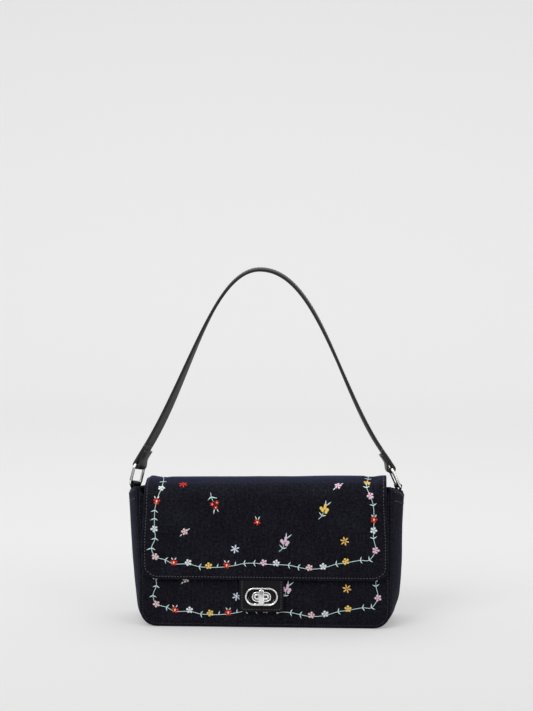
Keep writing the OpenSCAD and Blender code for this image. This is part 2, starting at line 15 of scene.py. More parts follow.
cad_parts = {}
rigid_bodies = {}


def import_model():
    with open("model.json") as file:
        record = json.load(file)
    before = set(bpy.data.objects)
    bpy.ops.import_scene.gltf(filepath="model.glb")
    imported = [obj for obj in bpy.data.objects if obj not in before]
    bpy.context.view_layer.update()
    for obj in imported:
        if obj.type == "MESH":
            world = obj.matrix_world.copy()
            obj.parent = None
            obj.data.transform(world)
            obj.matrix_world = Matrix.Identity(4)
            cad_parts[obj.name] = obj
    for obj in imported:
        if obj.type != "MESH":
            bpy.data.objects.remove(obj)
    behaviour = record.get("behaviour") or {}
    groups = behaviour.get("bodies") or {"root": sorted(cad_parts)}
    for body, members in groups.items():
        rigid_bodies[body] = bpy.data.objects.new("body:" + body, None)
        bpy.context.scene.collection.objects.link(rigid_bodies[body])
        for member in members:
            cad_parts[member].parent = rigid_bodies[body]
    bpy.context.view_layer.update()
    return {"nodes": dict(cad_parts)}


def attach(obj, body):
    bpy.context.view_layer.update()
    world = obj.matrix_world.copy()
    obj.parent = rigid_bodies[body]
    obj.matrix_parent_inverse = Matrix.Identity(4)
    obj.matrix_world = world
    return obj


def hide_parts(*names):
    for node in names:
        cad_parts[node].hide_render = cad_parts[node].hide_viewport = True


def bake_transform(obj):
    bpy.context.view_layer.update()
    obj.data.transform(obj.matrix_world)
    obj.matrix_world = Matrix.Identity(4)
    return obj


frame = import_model()
MM = 0.001

# Sizes of the part
panel_w = 247.5
body_h = 131.0
base_depth = 62.0
mouth_depth = 53.0
corner_r = 17.0
gusset_bulge = 13.0
panel_t = 2.2
lining_t = 0.8
facing_h = 24.0
hem_h = 15.0
facing_t = 1.0
flap_w = 237.6
flap_top = 141.0
flap_bottom = 48.5
flap_root = 98.0
back_fold_r = 8.0
shoulder_r = 14.0
flap_corner_r = 13.0
flap_ply_t = 2.0
flap_lining_t = 1.2
flap_gap = 1.5
layer_gap = 0.2
lock_x = -3.2
lock_z = 32.0
lock_tab_w = 43.6
lock_tab_bottom = 16.3
lock_tab_t = 2.4
tongue_l = 14.0
lock_tab_r = 4.0
eyelet_w = 32.6
eyelet_h = 18.0
eyelet_rim = 2.2
eyelet_t = 2.4
plinth_w = 19.0
plinth_h = 10.0
bar_l = 16.4
bar_w = 5.6
bar_t = 3.0
strap_w = 15.0
strap_t = 3.0
strap_top = 353.0
wire_r = 1.5
ring_w = 18.0
ring_h = 19.0
ring_x = 130.5
loop_t = 1.9
tab_l = 24.0
fold_l = 20.0
board_t = 2.0
pocket_w = 150.0
pocket_bottom = 30.0
zip_drop = 35.0
tape_w = 16.0
zip_l = 130.0

lean = math.atan((base_depth - mouth_depth) / 2 / body_h)
panel_h = body_h / math.cos(lean)
lining_y = panel_t + layer_gap
front_out = flap_gap + flap_lining_t + layer_gap + flap_ply_t
back_out = layer_gap + flap_ply_t
base_lining_z = panel_t + board_t + 2 * layer_gap
pocket_y = lining_y + lining_t + layer_gap
zip_z = panel_h - zip_drop
side_fullness = 0.7
mouth_rise = 8.0
lid_dome = 3.7
flap_flare = 2.8
mouth_spread = 3.0
right_fullness = 2.4
left_curl = 1.5
right_curl = 4.4
lid_tilt = 0.015
lid_wave = 0.45
face_belly = 0.9
panel_belly = 0.75
gusset_fold = 0.9
ring_corner = 3.2
fold_short = 3.0
lock_tab_out = flap_gap + lock_tab_t
rim_out = lock_tab_out + eyelet_t
plinth_out = rim_out + 0.2
bar_out = plinth_out + 0.3


def unit(v):
    return v / np.linalg.norm(v)


def vec(*v):
    return np.array(v, float)


def smooth(t):
    t = min(max(t, 0.0), 1.0)
    return t * t * (3 - 2 * t)


def half_depth(z):
    return base_depth / 2 - z * math.tan(lean)


def hump(x, centre, width):
    """A rounded bump whose top is 1 at the centre."""
    return math.exp(-(((x - centre) / width) ** 2))


def ripple(x, y, seed, size):
    """A soft cloth noise from -1 to 1 whose waves are about size long."""
    a = noise.noise(Vector((x / size, y / size, seed)))
    b = noise.noise(Vector((x / size * 2.3, y / size * 2.3, seed + 7.7)))
    return a + 0.5 * b


def steps(a, b, count):
    return [a + (b - a) * i / count for i in range(count + 1)]


def arc(x, y, r, first, last, step=15):
    """Places round a centre from one angle to another in degrees, both counted in."""
    angles = [math.radians(a) for a in range(first, last + (1 if step > 0 else -1), step)]
    return [(x + r * math.cos(a), y + r * math.sin(a)) for a in angles]


def circle(r, sides):
    angles = [2 * math.pi * k / sides for k in range(sides)]
    return [(r * math.cos(a), r * math.sin(a)) for a in angles]


def rounded_box(x, y, r, step, middle=0.0):
    """An outline of half width x from middle - y to middle + y, with corners rounded to r."""
    points = []
    for sx, sy, first in ((1, 1, 0), (-1, 1, 90), (-1, -1, 180), (1, -1, 270)):
        points += arc(sx * (x - r), middle + sy * (y - r), r, first, first + 90, step)
    return points


def follow(path):
    """The length of a flat path, and a call that gives its place at a length."""
    lengths = [0.0]
    for p, q in zip(path, path[1:]):
        lengths.append(lengths[-1] + math.dist(p, q))
    us, vs = zip(*path)
    return lengths[-1], lambda s: (float(np.interp(s, lengths, us)), float(np.interp(s, lengths, vs)))


def add_object(name, data):
    obj = bpy.data.objects.new(name, data)
    bpy.context.scene.collection.objects.link(obj)
    return obj


# Camera and lights
def make_camera():
    """The photograph's view: a long lens from the front, a little above the bag."""
    data = bpy.data.cameras.new("camera")
    camera = add_object("camera", data)
    place = Vector((0.097346, -2.139795, 0.567632))
    aim = Vector((-0.001482, 0.036552, 0.261451))
    camera.location = place
    camera.rotation_euler = (aim - place).to_track_quat("-Z", "Y").to_euler()
    data.lens = 111.39
    data.sensor_width = 36
    data.sensor_fit = "AUTO"
    data.clip_end = 20
    bpy.context.scene.camera = camera


def make_light(name, place, aim, size, power):
    data = bpy.data.lights.new(name, "AREA")
    data.shape = "RECTANGLE"
    data.size, data.size_y = size
    data.energy = power
    light = add_object(name, data)
    light.location = place
    light.rotation_euler = (Vector(aim) - Vector(place)).to_track_quat("-Z", "Y").to_euler()


class Nodes:
    """The node tree of a material or a world, with short calls for what is needed here."""

    def __init__(self, owner, output="ShaderNodeOutputMaterial"):
        owner.use_nodes = True
        self.owner = owner
        self.tree = owner.node_tree
        self.tree.nodes.clear()
        self.output = self.tree.nodes.new(output)

    def add(self, kind, inputs=None, **settings):
        node = self.tree.nodes.new(kind)
        for key, value in settings.items():
            setattr(node, key, value)
        for key, value in (inputs or {}).items():
            if isinstance(value, bpy.types.NodeSocket):
                self.tree.links.new(value, node.inputs[key])
            else:
                node.inputs[key].default_value = value
        return node

    def surface(self, node):
        self.tree.links.new(node.outputs[0], self.output.inputs["Surface"])
        return self.owner

    def math(self, operation, *values):
        return self.add("ShaderNodeMath", dict(enumerate(values)), operation=operation).outputs[0]

    def total(self, *parts):
        """The sum of values that are each given with a weight."""
        result = None
        for value, weight in parts:
            part = self.math("MULTIPLY", value, weight)
            result = part if result is None else self.math("ADD", result, part)
        return result

    def ramp(self, value, *stops):
        node = self.add("ShaderNodeValToRGB", {"Fac": value})
        points = node.color_ramp.elements
        while len(points) < len(stops):
            points.new(0.5)
        for point, (at, colour) in zip(points, stops):
            point.position = at
            point.color = (*colour, 1)
        return node.outputs["Color"]

    def where(self):
        return self.add("ShaderNodeTexCoord").outputs["Object"]

    def noise(self, vector, scale, detail=2.0, rough=0.5):
        """Noise of one scale, or of three scales that stretch it."""
        if isinstance(scale, tuple):
            vector = self.add("ShaderNodeMapping", {"Vector": vector, "Scale": scale}).outputs[0]
            scale = 1.0
        inputs = {"Vector": vector, "Scale": scale, "Detail": detail, "Roughness": rough}
        return self.add("ShaderNodeTexNoise", inputs).outputs[0]

    def wave(self, along, length, phase=None):
        """A sine from 0 to 1 of the coordinate along, with that wavelength in metres."""
        turn = self.math("MULTIPLY", along, 2 * math.pi / length)
        if phase is not None:
            turn = self.math("ADD", turn, phase)
        return self.math("MULTIPLY_ADD", self.math("SINE", turn), 0.5, 0.5)

    def bump(self, height, distance, strength, normal=None):
        inputs = {"Height": height, "Distance": distance, "Strength": strength}
        if normal is not None:
            inputs["Normal"] = normal
        return self.add("ShaderNodeBump", inputs).outputs[0]

    def shader(self, **inputs):
        named = {key.replace("_", " "): value for key, value in inputs.items()}
        return self.surface(self.add("ShaderNodeBsdfPrincipled", named))

    def cloth(self):
        """The flat coordinates of the cloth in metres, from the mesh's own attribute."""
        flat = self.add("ShaderNodeAttribute", attribute_name="cloth").outputs["Vector"]
        split = self.add("ShaderNodeSeparateXYZ", {0: flat})
        return flat, split.outputs[0], split.outputs[1]


def linear(*colour):
    """A colour written in sRGB from 0 to 255, as the shader wants it."""
    parts = [c / 255 for c in colour]
    return tuple(c / 12.92 if c <= 0.04045 else ((c + 0.055) / 1.055) ** 2.4 for c in parts)


def denim_material(name, dark, light, fade, tint=(0.28, 0.33, 0.85, 1)):
    """Twill: fine warp threads crossed by diagonal ribs, with slubs, a heathered tone and a soft sheen."""
    n = Nodes(bpy.data.materials.new(name))
    flat, x, y = n.cloth()
    slub = n.noise(flat, (900, 60, 1), 3.0)
    wobble = n.math("MULTIPLY", n.noise(flat, 240.0), 2.4)
    rib = n.wave(n.total((x, 0.9), (y, -0.44)), 0.00072, wobble)
    thread = n.math("MULTIPLY", rib, n.math("MULTIPLY_ADD", n.wave(x, 0.00046), 0.6, 0.4))
    weave = n.total((thread, 0.8), (n.wave(y, 0.0005), 0.2))
    cloud = n.noise(flat, 26.0, 5.0, 0.6)
    heather = n.noise(flat, 430.0, 2.0, 0.55)
    fleck = n.noise(flat, 1500.0, 2.0, 0.6)
    tone = n.total((weave, 0.34), (slub, 0.28), (cloud, 0.24), (heather, 0.55), (fleck, 0.16))
    normal = n.bump(weave, 0.00011, 0.75)
    normal = n.bump(heather, 0.0002, 0.35, normal)
    normal = n.bump(n.noise(flat, 130.0, 4.0), 0.00025, 0.4, normal)
    return n.shader(
        Base_Color=n.ramp(tone, (0.56, dark), (0.76, light), (0.96, fade)), Normal=normal,
        Roughness=n.math("MULTIPLY_ADD", slub, 0.16, 0.78), Specular_IOR_Level=0.07,
        Sheen_Weight=0.2, Sheen_Roughness=0.4, Sheen_Tint=tint,
    )


def cotton_material(name, dark, light, pitch=0.0006):
    """A plain woven cotton."""
    n = Nodes(bpy.data.materials.new(name))
    flat, x, y = n.cloth()
    weave = n.math("ABSOLUTE", n.math("SUBTRACT", n.wave(x, pitch), n.wave(y, pitch)))
    slub = n.noise(flat, (80, 900, 1), 3.0)
    tone = n.total((weave, 0.35), (n.noise(flat, 40.0, 4.0), 0.4), (slub, 0.3))
    normal = n.bump(n.noise(flat, 90.0, 3.0), 0.0004, 0.4, n.bump(weave, 0.00008, 0.6))
    return n.shader(Base_Color=n.ramp(tone, (0.3, dark), (0.75, light)), Roughness=0.8, Normal=normal,
                    Sheen_Weight=0.15, Specular_IOR_Level=0.3)


def leather_material(name, dark, light, gloss=0.42, shine=0.5):
    """Grained leather: small rounded cells, finer pores, and cloudy wear in tone and gloss."""
    n = Nodes(bpy.data.materials.new(name))
    where = n.where()
    push = n.add("ShaderNodeTexNoise", {"Vector": where, "Scale": 500.0}).outputs[1]
    push = n.add("ShaderNodeVectorMath", {0: push, 1: (0.0006,) * 3}, operation="MULTIPLY").outputs[0]
    bent = n.add("ShaderNodeVectorMath", {0: where, 1: push}, operation="ADD").outputs[0]
    cells = n.add("ShaderNodeTexVoronoi", {"Vector": bent, "Scale": 1150.0}, feature="SMOOTH_F1").outputs[0]
    cloud = n.noise(where, 55.0, 4.0)
    grain = n.total((cells, 0.8), (n.noise(where, 3200.0), 0.3))
    tone = n.total((cells, 0.5), (cloud, 0.6))
    return n.shader(
        Base_Color=n.ramp(tone, (0.25, dark), (0.8, light)), Normal=n.bump(grain, 0.00014, 0.55),
        Roughness=n.math("MULTIPLY_ADD", cloud, 0.22, gloss - 0.08), Specular_IOR_Level=shine,
    )


def metal_material(name, low, high):
    """Polished metal with faint handling marks."""
    n = Nodes(bpy.data.materials.new(name))
    where = n.where()
    smear = n.noise(where, 90.0, 4.0)
    scratch = n.noise(where, (300, 300, 4000))
    rough = n.math("ADD", n.math("MULTIPLY", smear, 0.12), n.math("MULTIPLY_ADD", scratch, 0.08, 0.06))
    return n.shader(Base_Color=n.ramp(smear, (0.3, low), (0.7, high)), Metallic=1.0, Roughness=rough,
                    Normal=n.bump(scratch, 0.00001, 0.4))


def board_material():
    """Grey fibre board with short pressed fibres."""
    n = Nodes(bpy.data.materials.new("fibre_board"))
    where = n.where()
    fibre = n.noise(where, (250, 1400, 800), 4.0, 0.7)
    tone = n.total((fibre, 0.6), (n.noise(where, 700.0, 3.0), 0.4))
    base = n.ramp(tone, (0.35, linear(86, 78, 68)), (0.65, linear(134, 124, 108)))
    return n.shader(Base_Color=base, Roughness=0.86, Normal=n.bump(fibre, 0.00015, 0.5),
                    Specular_IOR_Level=0.2)


def thread_material(name, colour):
    """Glossy thread with fine twisted filaments and small differences between strands."""
    n = Nodes(bpy.data.materials.new(name))
    where = n.where()
    filament = n.noise(where, 5200.0, 2.0, 0.6)
    tone = n.total((filament, 0.5), (n.noise(where, 900.0, 1.0), 0.5))
    shade = tuple(c * 0.8 for c in colour)
    base = n.ramp(tone, (0.3, shade), (0.62, colour))
    return n.shader(Base_Color=base, Roughness=0.55, Normal=n.bump(filament, 0.00005, 0.5),
                    Sheen_Weight=0.1, Sheen_Roughness=0.3)


# Mesh helpers
def add_mesh(name, points, faces, materials, shade=True):
    """A mesh from points in metres."""
    mesh = bpy.data.meshes.new(name)
    mesh.from_pydata([tuple(p) for p in points], [], faces)
    for material in materials:
        mesh.materials.append(material)
    mesh.polygons.foreach_set("use_smooth", [shade] * len(mesh.polygons))
    return add_object(name, mesh)


def make_object(name, points, faces, *materials, flat=None, shade=True, weld=True):
    """A mesh from points in millimetres, with the cloth's flat coordinates where given."""
    obj = add_mesh(name, np.asarray(points, float) * MM, faces, materials, shade)
    mesh = obj.data
    if flat is not None:
        attribute = mesh.attributes.new("cloth", "FLOAT_VECTOR", "POINT")
        attribute.data.foreach_set("vector", (np.asarray(flat, float) * MM).ravel())
    tidy = bmesh.new()
    tidy.from_mesh(mesh)
    if weld:
        bmesh.ops.remove_doubles(tidy, verts=tidy.verts, dist=0.00002)
        bmesh.ops.dissolve_degenerate(tidy, edges=tidy.edges, dist=0.00001)
    bmesh.ops.recalc_face_normals(tidy, faces=tidy.faces)
    tidy.to_mesh(mesh)
    tidy.free()
    return obj


def merge(parts):
    """Joins (points, faces) lists into one."""
    points, faces = [], []
    for p, f in parts:
        shift = len(points)
        points.extend(p)
        faces.extend([tuple(i + shift for i in face) for face in f])
    return points, faces


def grid_faces(rows, cols, shift=0, wrap=False):
    last = cols if wrap else cols - 1
    return [
        (shift + i * cols + j, shift + i * cols + (j + 1) % cols,
         shift + (i + 1) * cols + (j + 1) % cols, shift + (i + 1) * cols + j)
        for i in range(rows - 1) for j in range(last)
    ]


def loft_faces(rows, cols, ring=False):
    """Faces through rows of cols points each, with both ends capped or joined into a ring."""
    faces = grid_faces(rows, cols, wrap=True)
    last = (rows - 1) * cols
    if ring:
        return faces + [(last + j, last + (j + 1) % cols, (j + 1) % cols, j) for j in range(cols)]
    return faces + [tuple(range(cols)), tuple(reversed(range(last, rows * cols)))]


def sheet_faces(rows, cols, open_rows=()):
    """Faces of a closed sheet: its outer grid, its inner grid and its rim, but no rim at open rows."""
    size = rows * cols
    faces = grid_faces(rows, cols) + [tuple(reversed(f)) for f in grid_faces(rows, cols, size)]
    k = size - cols
    for j in range(cols - 1):
        if 0 not in open_rows:
            faces.append((j, j + 1, size + j + 1, size + j))
        if -1 not in open_rows:
            faces.append((k + j + 1, k + j, size + k + j, size + k + j + 1))
    for i in range(rows - 1):
        a, b = i * cols, (i + 1) * cols
        faces.append((b, a, size + a, size + b))
        a, b = a + cols - 1, b + cols - 1
        faces.append((a, b, size + b, size + a))
    return faces


def fine_ends(length, step, first=True, last=True):
    """Places from 0 to length, about step apart and closer together at the ends that are rolled."""
    close = [0.0, 0.12, 0.4, 0.8, 1.3, 2.2, 3.4]
    low = close if first else [0.0]
    high = [length - c for c in reversed(close)] if last else [length]
    count = max(2, round((high[0] - low[-1]) / step))
    return low[:-1] + steps(low[-1], high[0], count) + high[1:]


def rolled(d, r):
    """How far a face drops at a distance d from an edge that is rolled to a radius r."""
    if d >= r:
        return 0.0
    return r - math.sqrt(max(0.0, r * r - (r - d) ** 2))


def shell(name, rows, edge, place, thick, material, open_rows=(), relief=None):
    """A closed sheet. rows hold flat (u, v) places, edge gives the distance to the sheet's rim, and
    place(u, v, height) puts a flat place into space. open_rows names rows 0 or -1 that go on in
    another piece, and so have no rolled rim."""
    points, flat = [], []
    for side in (0, 1):
        for u, v in (spot for row in rows for spot in row):
            drop = rolled(max(0.0, edge(u, v)), thick / 2)
            height = drop - thick if side else -drop
            if relief is not None:
                height += relief(u, v, side)
            points.append(place(u, v, height))
            flat.append((u, v, height))
    return make_object(name, points, sheet_faces(len(rows), len(rows[0]), open_rows), material, flat=flat)


def closed_wire(path, r, sides, guide):
    """A round wire along a closed path. guide is a direction across the path."""
    points = []
    for i, p in enumerate(path):
        ahead = unit(path[(i + 1) % len(path)] - path[i - 1])
        across = unit(np.cross(ahead, guide))
        guide = unit(np.cross(across, ahead))
        points += [p + across * u + guide * v for u, v in circle(r, sides)]
    return points, loft_faces(len(path), sides, ring=True)


def stitch(a, b, lift, r=0.32):
    """One raised stitch between two points, along a surface whose normal is lift."""
    along = b - a
    across = unit(np.cross(along, lift))
    shape = [(0.0, 0.15, -0.5), (0.12, 0.75, 0.1), (0.5, 1.0, 0.35), (0.88, 0.75, 0.1), (1.0, 0.15, -0.5)]
    points = [a + along * t + across * (r * width * c) + lift * (r * rise + 0.8 * r * width * s)
              for t, width, rise in shape for c, s in circle(1, 6)]
    return points, loft_faces(len(shape), 6)


def seam(flat_path, place, pitch=3.0, gap=1.1, r=0.33, lift=0.0):
    """Stitches along a flat path. place(u, v, height) puts them on the surface."""
    parts = []
    length, at = follow(flat_path)
    for k in range(int(length / pitch)):
        first, last = at(k * pitch + gap / 2), at((k + 1) * pitch - gap / 2)
        mid = ((first[0] + last[0]) / 2, (first[1] + last[1]) / 2)
        up = unit(place(*mid, lift + 1.0) - place(*mid, lift))
        parts.append(stitch(place(*first, lift), place(*last, lift), up, r))
    return parts


def mirrored_seam(path, place, **sizes):
    """The same stitches on the right and on the left."""
    return [part for sign in (1, -1) for part in seam([(sign * x, v) for x, v in path], place, **sizes)]


def ride(obj, body, slot, *nodes):
    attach(obj, body)
    if nodes:
        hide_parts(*nodes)
    return obj


def bend(obj, a, b, start, end, slot, *nodes):
    tuple(c * MM for c in start)
    tuple(c * MM for c in end)
    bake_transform(obj)
    if nodes:
        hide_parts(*nodes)
    return obj


# Materials
DENIM = denim_material("denim", linear(5, 5, 7), linear(15, 15, 20), linear(44, 44, 56))
DENIM_BLUE = denim_material(
    "denim_side", linear(7, 7, 10), linear(20, 20, 25), linear(46, 46, 54), (0.31, 0.33, 0.58, 1),
)
LINING = cotton_material("lining_cotton", linear(52, 46, 46), linear(88, 80, 78))
TAPE = cotton_material("zip_tape_cotton", linear(16, 16, 18), linear(38, 38, 42), 0.0009)
LEATHER = leather_material("black_leather", linear(14, 14, 15), linear(34, 34, 36))
SUEDE = leather_material("leather_back", linear(58, 57, 57), linear(86, 85, 84), 0.8)
TAB_LEATHER = leather_material("tab_leather", linear(9, 8, 11), linear(27, 25, 30), 0.68, 0.14)
EDGE_PAINT = leather_material("edge_paint", linear(10, 10, 10), linear(20, 20, 20), 0.3)
METAL = metal_material("polished_metal", (0.80, 0.80, 0.81), (0.90, 0.90, 0.91))
# Black metal for the lock's flange, and painted shade on the floors of the plinth's grooves
BLACK_METAL_AND_SHADE = metal_material("black_metal_and_painted_shade", (0.01, 0.01, 0.01), (0.022, 0.022, 0.02))
BOARD = board_material()
SEAM_THREAD = thread_material("seam_thread", linear(84, 79, 82))
DARK_THREAD = thread_material("dark_thread", linear(34, 33, 36))

make_camera()


# Flat frames. A front place is (x, v, height): v runs up the panel and height stands out of it.
def on_front(x, v, height=0.0):
    y = -base_depth / 2 + v * math.sin(lean) - height * math.cos(lean)
    return vec(x, y, v * math.cos(lean) + height * math.sin(lean))


def on_back(x, v, height=0.0):
    p = on_front(x, v, height)
    return vec(p[0], -p[1], p[2])


# The flap's skin. s runs from the front edge up over the shoulder, along the lid and down behind.
def fold_y(r, out):
    """How far the centre of a bend of radius r lies in from the base's edge, under a skin that far out."""
    return (r - out + (flap_top - r) * math.sin(lean)) / math.cos(lean)


back_y = base_depth / 2 - fold_y(back_fold_r, back_out)
front_y = fold_y(shoulder_r, front_out) - base_depth / 2
back_centre = vec(back_y, flap_top - back_fold_r)
front_centre = vec(front_y, flap_top - shoulder_r)
face_l = (front_centre[1] - flap_bottom + shoulder_r * math.sin(lean)) / math.cos(lean)
shoulder_l = shoulder_r * (math.pi / 2 - lean)
lid_l = back_y - front_y
fold_len = back_fold_r * (math.pi / 2 - lean)
strip_l = (back_centre[1] - flap_root) / math.cos(lean)
shoulder_end = face_l + shoulder_l
lid_end = shoulder_end + lid_l
fold_end = lid_end + fold_len
flap_l = fold_end + strip_l
lid_seam = shoulder_end + lid_l / 2

# The two bends of the flap: their bodies and where each bend starts and ends
LID_BEND = ("bag", "lid", (0, back_centre[0] + back_fold_r, back_centre[1]), (0, back_centre[0], flap_top))
FRONT_BEND = ("lid", "flap_front", (0, front_centre[0], flap_top),
              (0, front_centre[0] - shoulder_r, front_centre[1]))


def flap_section(s):
    """The skin's place and outward direction in Y and Z at s."""
    if s < face_l:
        out = vec(-math.cos(lean), math.sin(lean))
        return front_centre + shoulder_r * out - (face_l - s) * vec(math.sin(lean), math.cos(lean)), out
    if s < shoulder_end:
        a = math.pi - lean - (s - face_l) / shoulder_r
        out = vec(math.cos(a), math.sin(a))
        return front_centre + shoulder_r * out, out
    if s < lid_end:
        return front_centre + vec(s - shoulder_end, shoulder_r), vec(0, 1)
    if s < fold_end:
        a = math.pi / 2 - (s - lid_end) / back_fold_r
        out = vec(math.cos(a), math.sin(a))
        return back_centre + back_fold_r * out, out
    out = vec(math.cos(lean), math.sin(lean))
    return back_centre + back_fold_r * out + (s - fold_end) * vec(math.sin(lean), -math.cos(lean)), out


def flap_lift(x, s):
    """How far the cloth stands off its section: curled top corners and slow waves."""
    top = smooth((s - face_l + 6) / 22) * (1 - smooth((s - lid_end) / 10))
    left = left_curl * hump(x, -114.5, 5) - 0.9 * hump(x, -102, 4) - 1.8 * smooth((-x - 116) / 3.5)
    right = right_curl * smooth((x - 104) / 12) * (1 - 0.7 * smooth((s - 118) / 12))
    right -= 1.2 * smooth((x - 94) / 10)
    tilt = 0.2 + lid_tilt * x
    dome = lid_dome * smooth((s - 84) / 32) * (1 - 0.85 * smooth((s - 116) / 24))
    wave = lid_wave * ripple(x, s, 3.1, 46)
    inside = min(1.0, (flap_w / 2 - abs(x)) / 12)
    calm = 1 - hump(s, lid_seam, 9)
    on_face = 1 - smooth((s - face_l + 25) / 25)
    bow = math.sin(math.pi * min(1.0, max(0.0, s / face_l)))
    belly = face_belly * (1 - (x / (flap_w / 2)) ** 2) * bow * on_face
    return top * (tilt + (left + right) * (0.35 + 0.65 * calm)) + wave * inside * calm * 0.8 + belly + dome


def on_flap(x, s, height=0.0):
    p, out = flap_section(s)
    q = p + (height + flap_lift(x, s)) * out
    wider = flap_flare * smooth((abs(x) - 109) / 9.8) * (1 - smooth((s - 30) / 55))
    return vec(x + math.copysign(wider, x), q[0], q[1])


def columns_across(w, r, step):
    """Places across a piece of half width w, close together over its rounded corners."""
    corner = [w - r * (1 - math.cos(math.radians(a))) for a in range(0, 91, 9)]
    middle = steps(corner[-1], -corner[-1], round(2 * corner[-1] / step))
    return corner + middle[1:-1] + [-c for c in reversed(corner)]


def corner_foot(x, w, r):
    """How far the rounded corner of a piece of half width w stands above its lower edge at x."""
    into = abs(x) - (w - r)
    return r - math.sqrt(max(0.0, r * r - into * into)) if into > 0 else 0.0


def rows_between(columns, foot, low, high, step, ends=(True, True)):
    """Rows of flat places from foot(x) up to high, closer together at the ends that are rolled."""
    return [[(x, foot(x) + (high - foot(x)) * t / (high - low)) for x in columns]
            for t in fine_ends(high - low, step, *ends)]


def flap_foot(x, shrink):
    """The lowest s of the flap at x."""
    return shrink + corner_foot(x, flap_w / 2 - shrink, flap_corner_r - shrink)


def flap_rows(shrink, low, high, step):
    """Rows of the flap's front piece, or of its back piece, which starts at the seam on the lid."""
    lower = low < lid_seam
    columns = columns_across(flap_w / 2 - shrink, flap_corner_r - shrink, step * 1.3)

    def foot(x):
        return flap_foot(x, shrink) if lower else low
    return rows_between(columns, foot, low, high, step, (lower, not lower))


def flap_distance(shrink):
    """A call for the distance to the rim of a ply that is smaller all round by shrink."""
    def distance(x, s):
        side, r = flap_w / 2 - abs(x), flap_corner_r
        if s >= r:
            low = s - flap_foot(x, shrink)
        elif side < r:
            low = r - math.hypot(r - s, r - side) - shrink
        else:
            low = min(side, s) - shrink
        return min(side - shrink, low, flap_l - shrink - s)
    return distance


stitch_in = 2.9


def topstitch_dip(d):
    """The cloth is drawn in along its topstitching, and stands up between it and the rim."""
    return -0.32 * hump(d, stitch_in, 1.1) + 0.1 * hump(d, 1.4, 0.8)


def pucker(along):
    return 0.07 * math.sin(along * 2.1) + 0.05 * math.sin(along * 0.83 + 1.3)


def build_flap():
    to_rim = flap_distance(0)

    def relief(x, s, side):
        along = s if flap_w / 2 - abs(x) < s else x
        return 0.0 if side else topstitch_dip(to_rim(x, s)) * (1 + 1.5 * pucker(along))

    def under(x, s, height=0.0):
        return on_flap(x, s, height - flap_ply_t - 0.05)

    def inner_relief(x, s, side):
        return 0.12 * ripple(x, s, 9.0, 9) if side else 0.0

    # Each ply is a front piece and a back piece, which meet on the lid
    for name, shrink, end, step, place, thick, material, form, slot, nodes, back_nodes in (
            ("flap_cloth", 0, flap_l, 2.0, on_flap, flap_ply_t, DENIM, relief, "denim",
             ("flap_outer", "lid_outer"), ("flap_back_strip",)),
            ("flap_lining", 2.2, flap_l - 12, 2.6, under, flap_lining_t, LINING, inner_relief, "lining",
             ("flap_lining", "lid_lining"), ())):
        distance = flap_distance(shrink)
        rows = flap_rows(shrink, shrink, lid_seam, step)
        front = shell(name + "_front", rows, distance, place, thick, material, (-1,), form)
        bend(front, *FRONT_BEND, slot, *nodes)
        rows = flap_rows(shrink, lid_seam, end, step)
        back = shell(name + "_back", rows, distance, place, thick, material, (0,), form)
        bend(back, *LID_BEND, slot, *back_nodes)

    # Topstitching runs round the rim, and its last row holds the flap on the back panel
    w, r = flap_w / 2 - stitch_in, flap_corner_r - stitch_in
    lower = [(0.0, stitch_in)] + arc(w - r, stitch_in + r, r, -90, 0, 10)
    lower += [(w, s) for s in steps(flap_corner_r, lid_seam, 40)]
    upper = [(w, s) for s in steps(lid_seam, flap_l - stitch_in, 40)] + [(0.0, flap_l - stitch_in)]
    for name, path, ends in (("front", lower, FRONT_BEND), ("back", upper, LID_BEND)):
        parts = mirrored_seam(path, on_flap, lift=-0.12)
        bend(make_object("flap_topstitch_" + name, *merge(parts), SEAM_THREAD), *ends, "denim")


# Bag body
def flat_rows(w, across, low, high, step):
    """Rows of a rectangle from low to high, whose rim is rolled all round."""
    return [[(w / 2 - t, low + s) for t in fine_ends(w, across)] for s in fine_ends(high - low, step)]


def panel_rows(w, low, high, r, step):
    def foot(x):
        return low + corner_foot(x, w / 2, r)
    return rows_between(columns_across(w / 2, r, step), foot, low, high, step)


def panel_distance(w, low, high, r):
    def d(x, v):
        side = w / 2 - abs(x)
        up = v - low
        if up < r and side < r:
            return min(r - math.hypot(r - up, r - side), high - v)
        return min(side, up, high - v)
    return d


def panel_lift(x, v, seed):
    """A padded panel: it is fullest in the middle and sags a little towards the base."""
    side = 1 - (abs(x) / (panel_w / 2)) ** 4
    up = math.sin(math.pi * min(1.0, max(0.0, v / panel_h)) ** 0.8)
    calm = min(1.0, (panel_w / 2 - abs(x)) / 15, v / 12 + 0.1)
    return panel_belly * side * up + 0.4 * ripple(x, v, seed, 42) * calm


def opened(z):
    """How far the bag's widening towards its mouth has come at z, from 0 to 1."""
    return smooth((z - 45) / 80)


def raised(z):
    """How far the rim's rise has come at z, from 0 to 1."""
    return smooth((z - 85) / 46)


def spread(x, v):
    """The mouth's front left corner stands further out than the solid's."""
    return -mouth_spread * smooth((-x - 95) / 29) * opened(v)


def front_skin(x, v, height=0.0):
    p = on_front(x, v, height + panel_lift(x, v, 1.5))
    p[0] += spread(x, v)
    p[2] += mouth_rise * smooth((abs(x) - 116.5) / 6) * raised(v)
    return p


def back_skin(x, v, height=0.0):
    return on_back(x, v, height + panel_lift(x, v, 5.5))


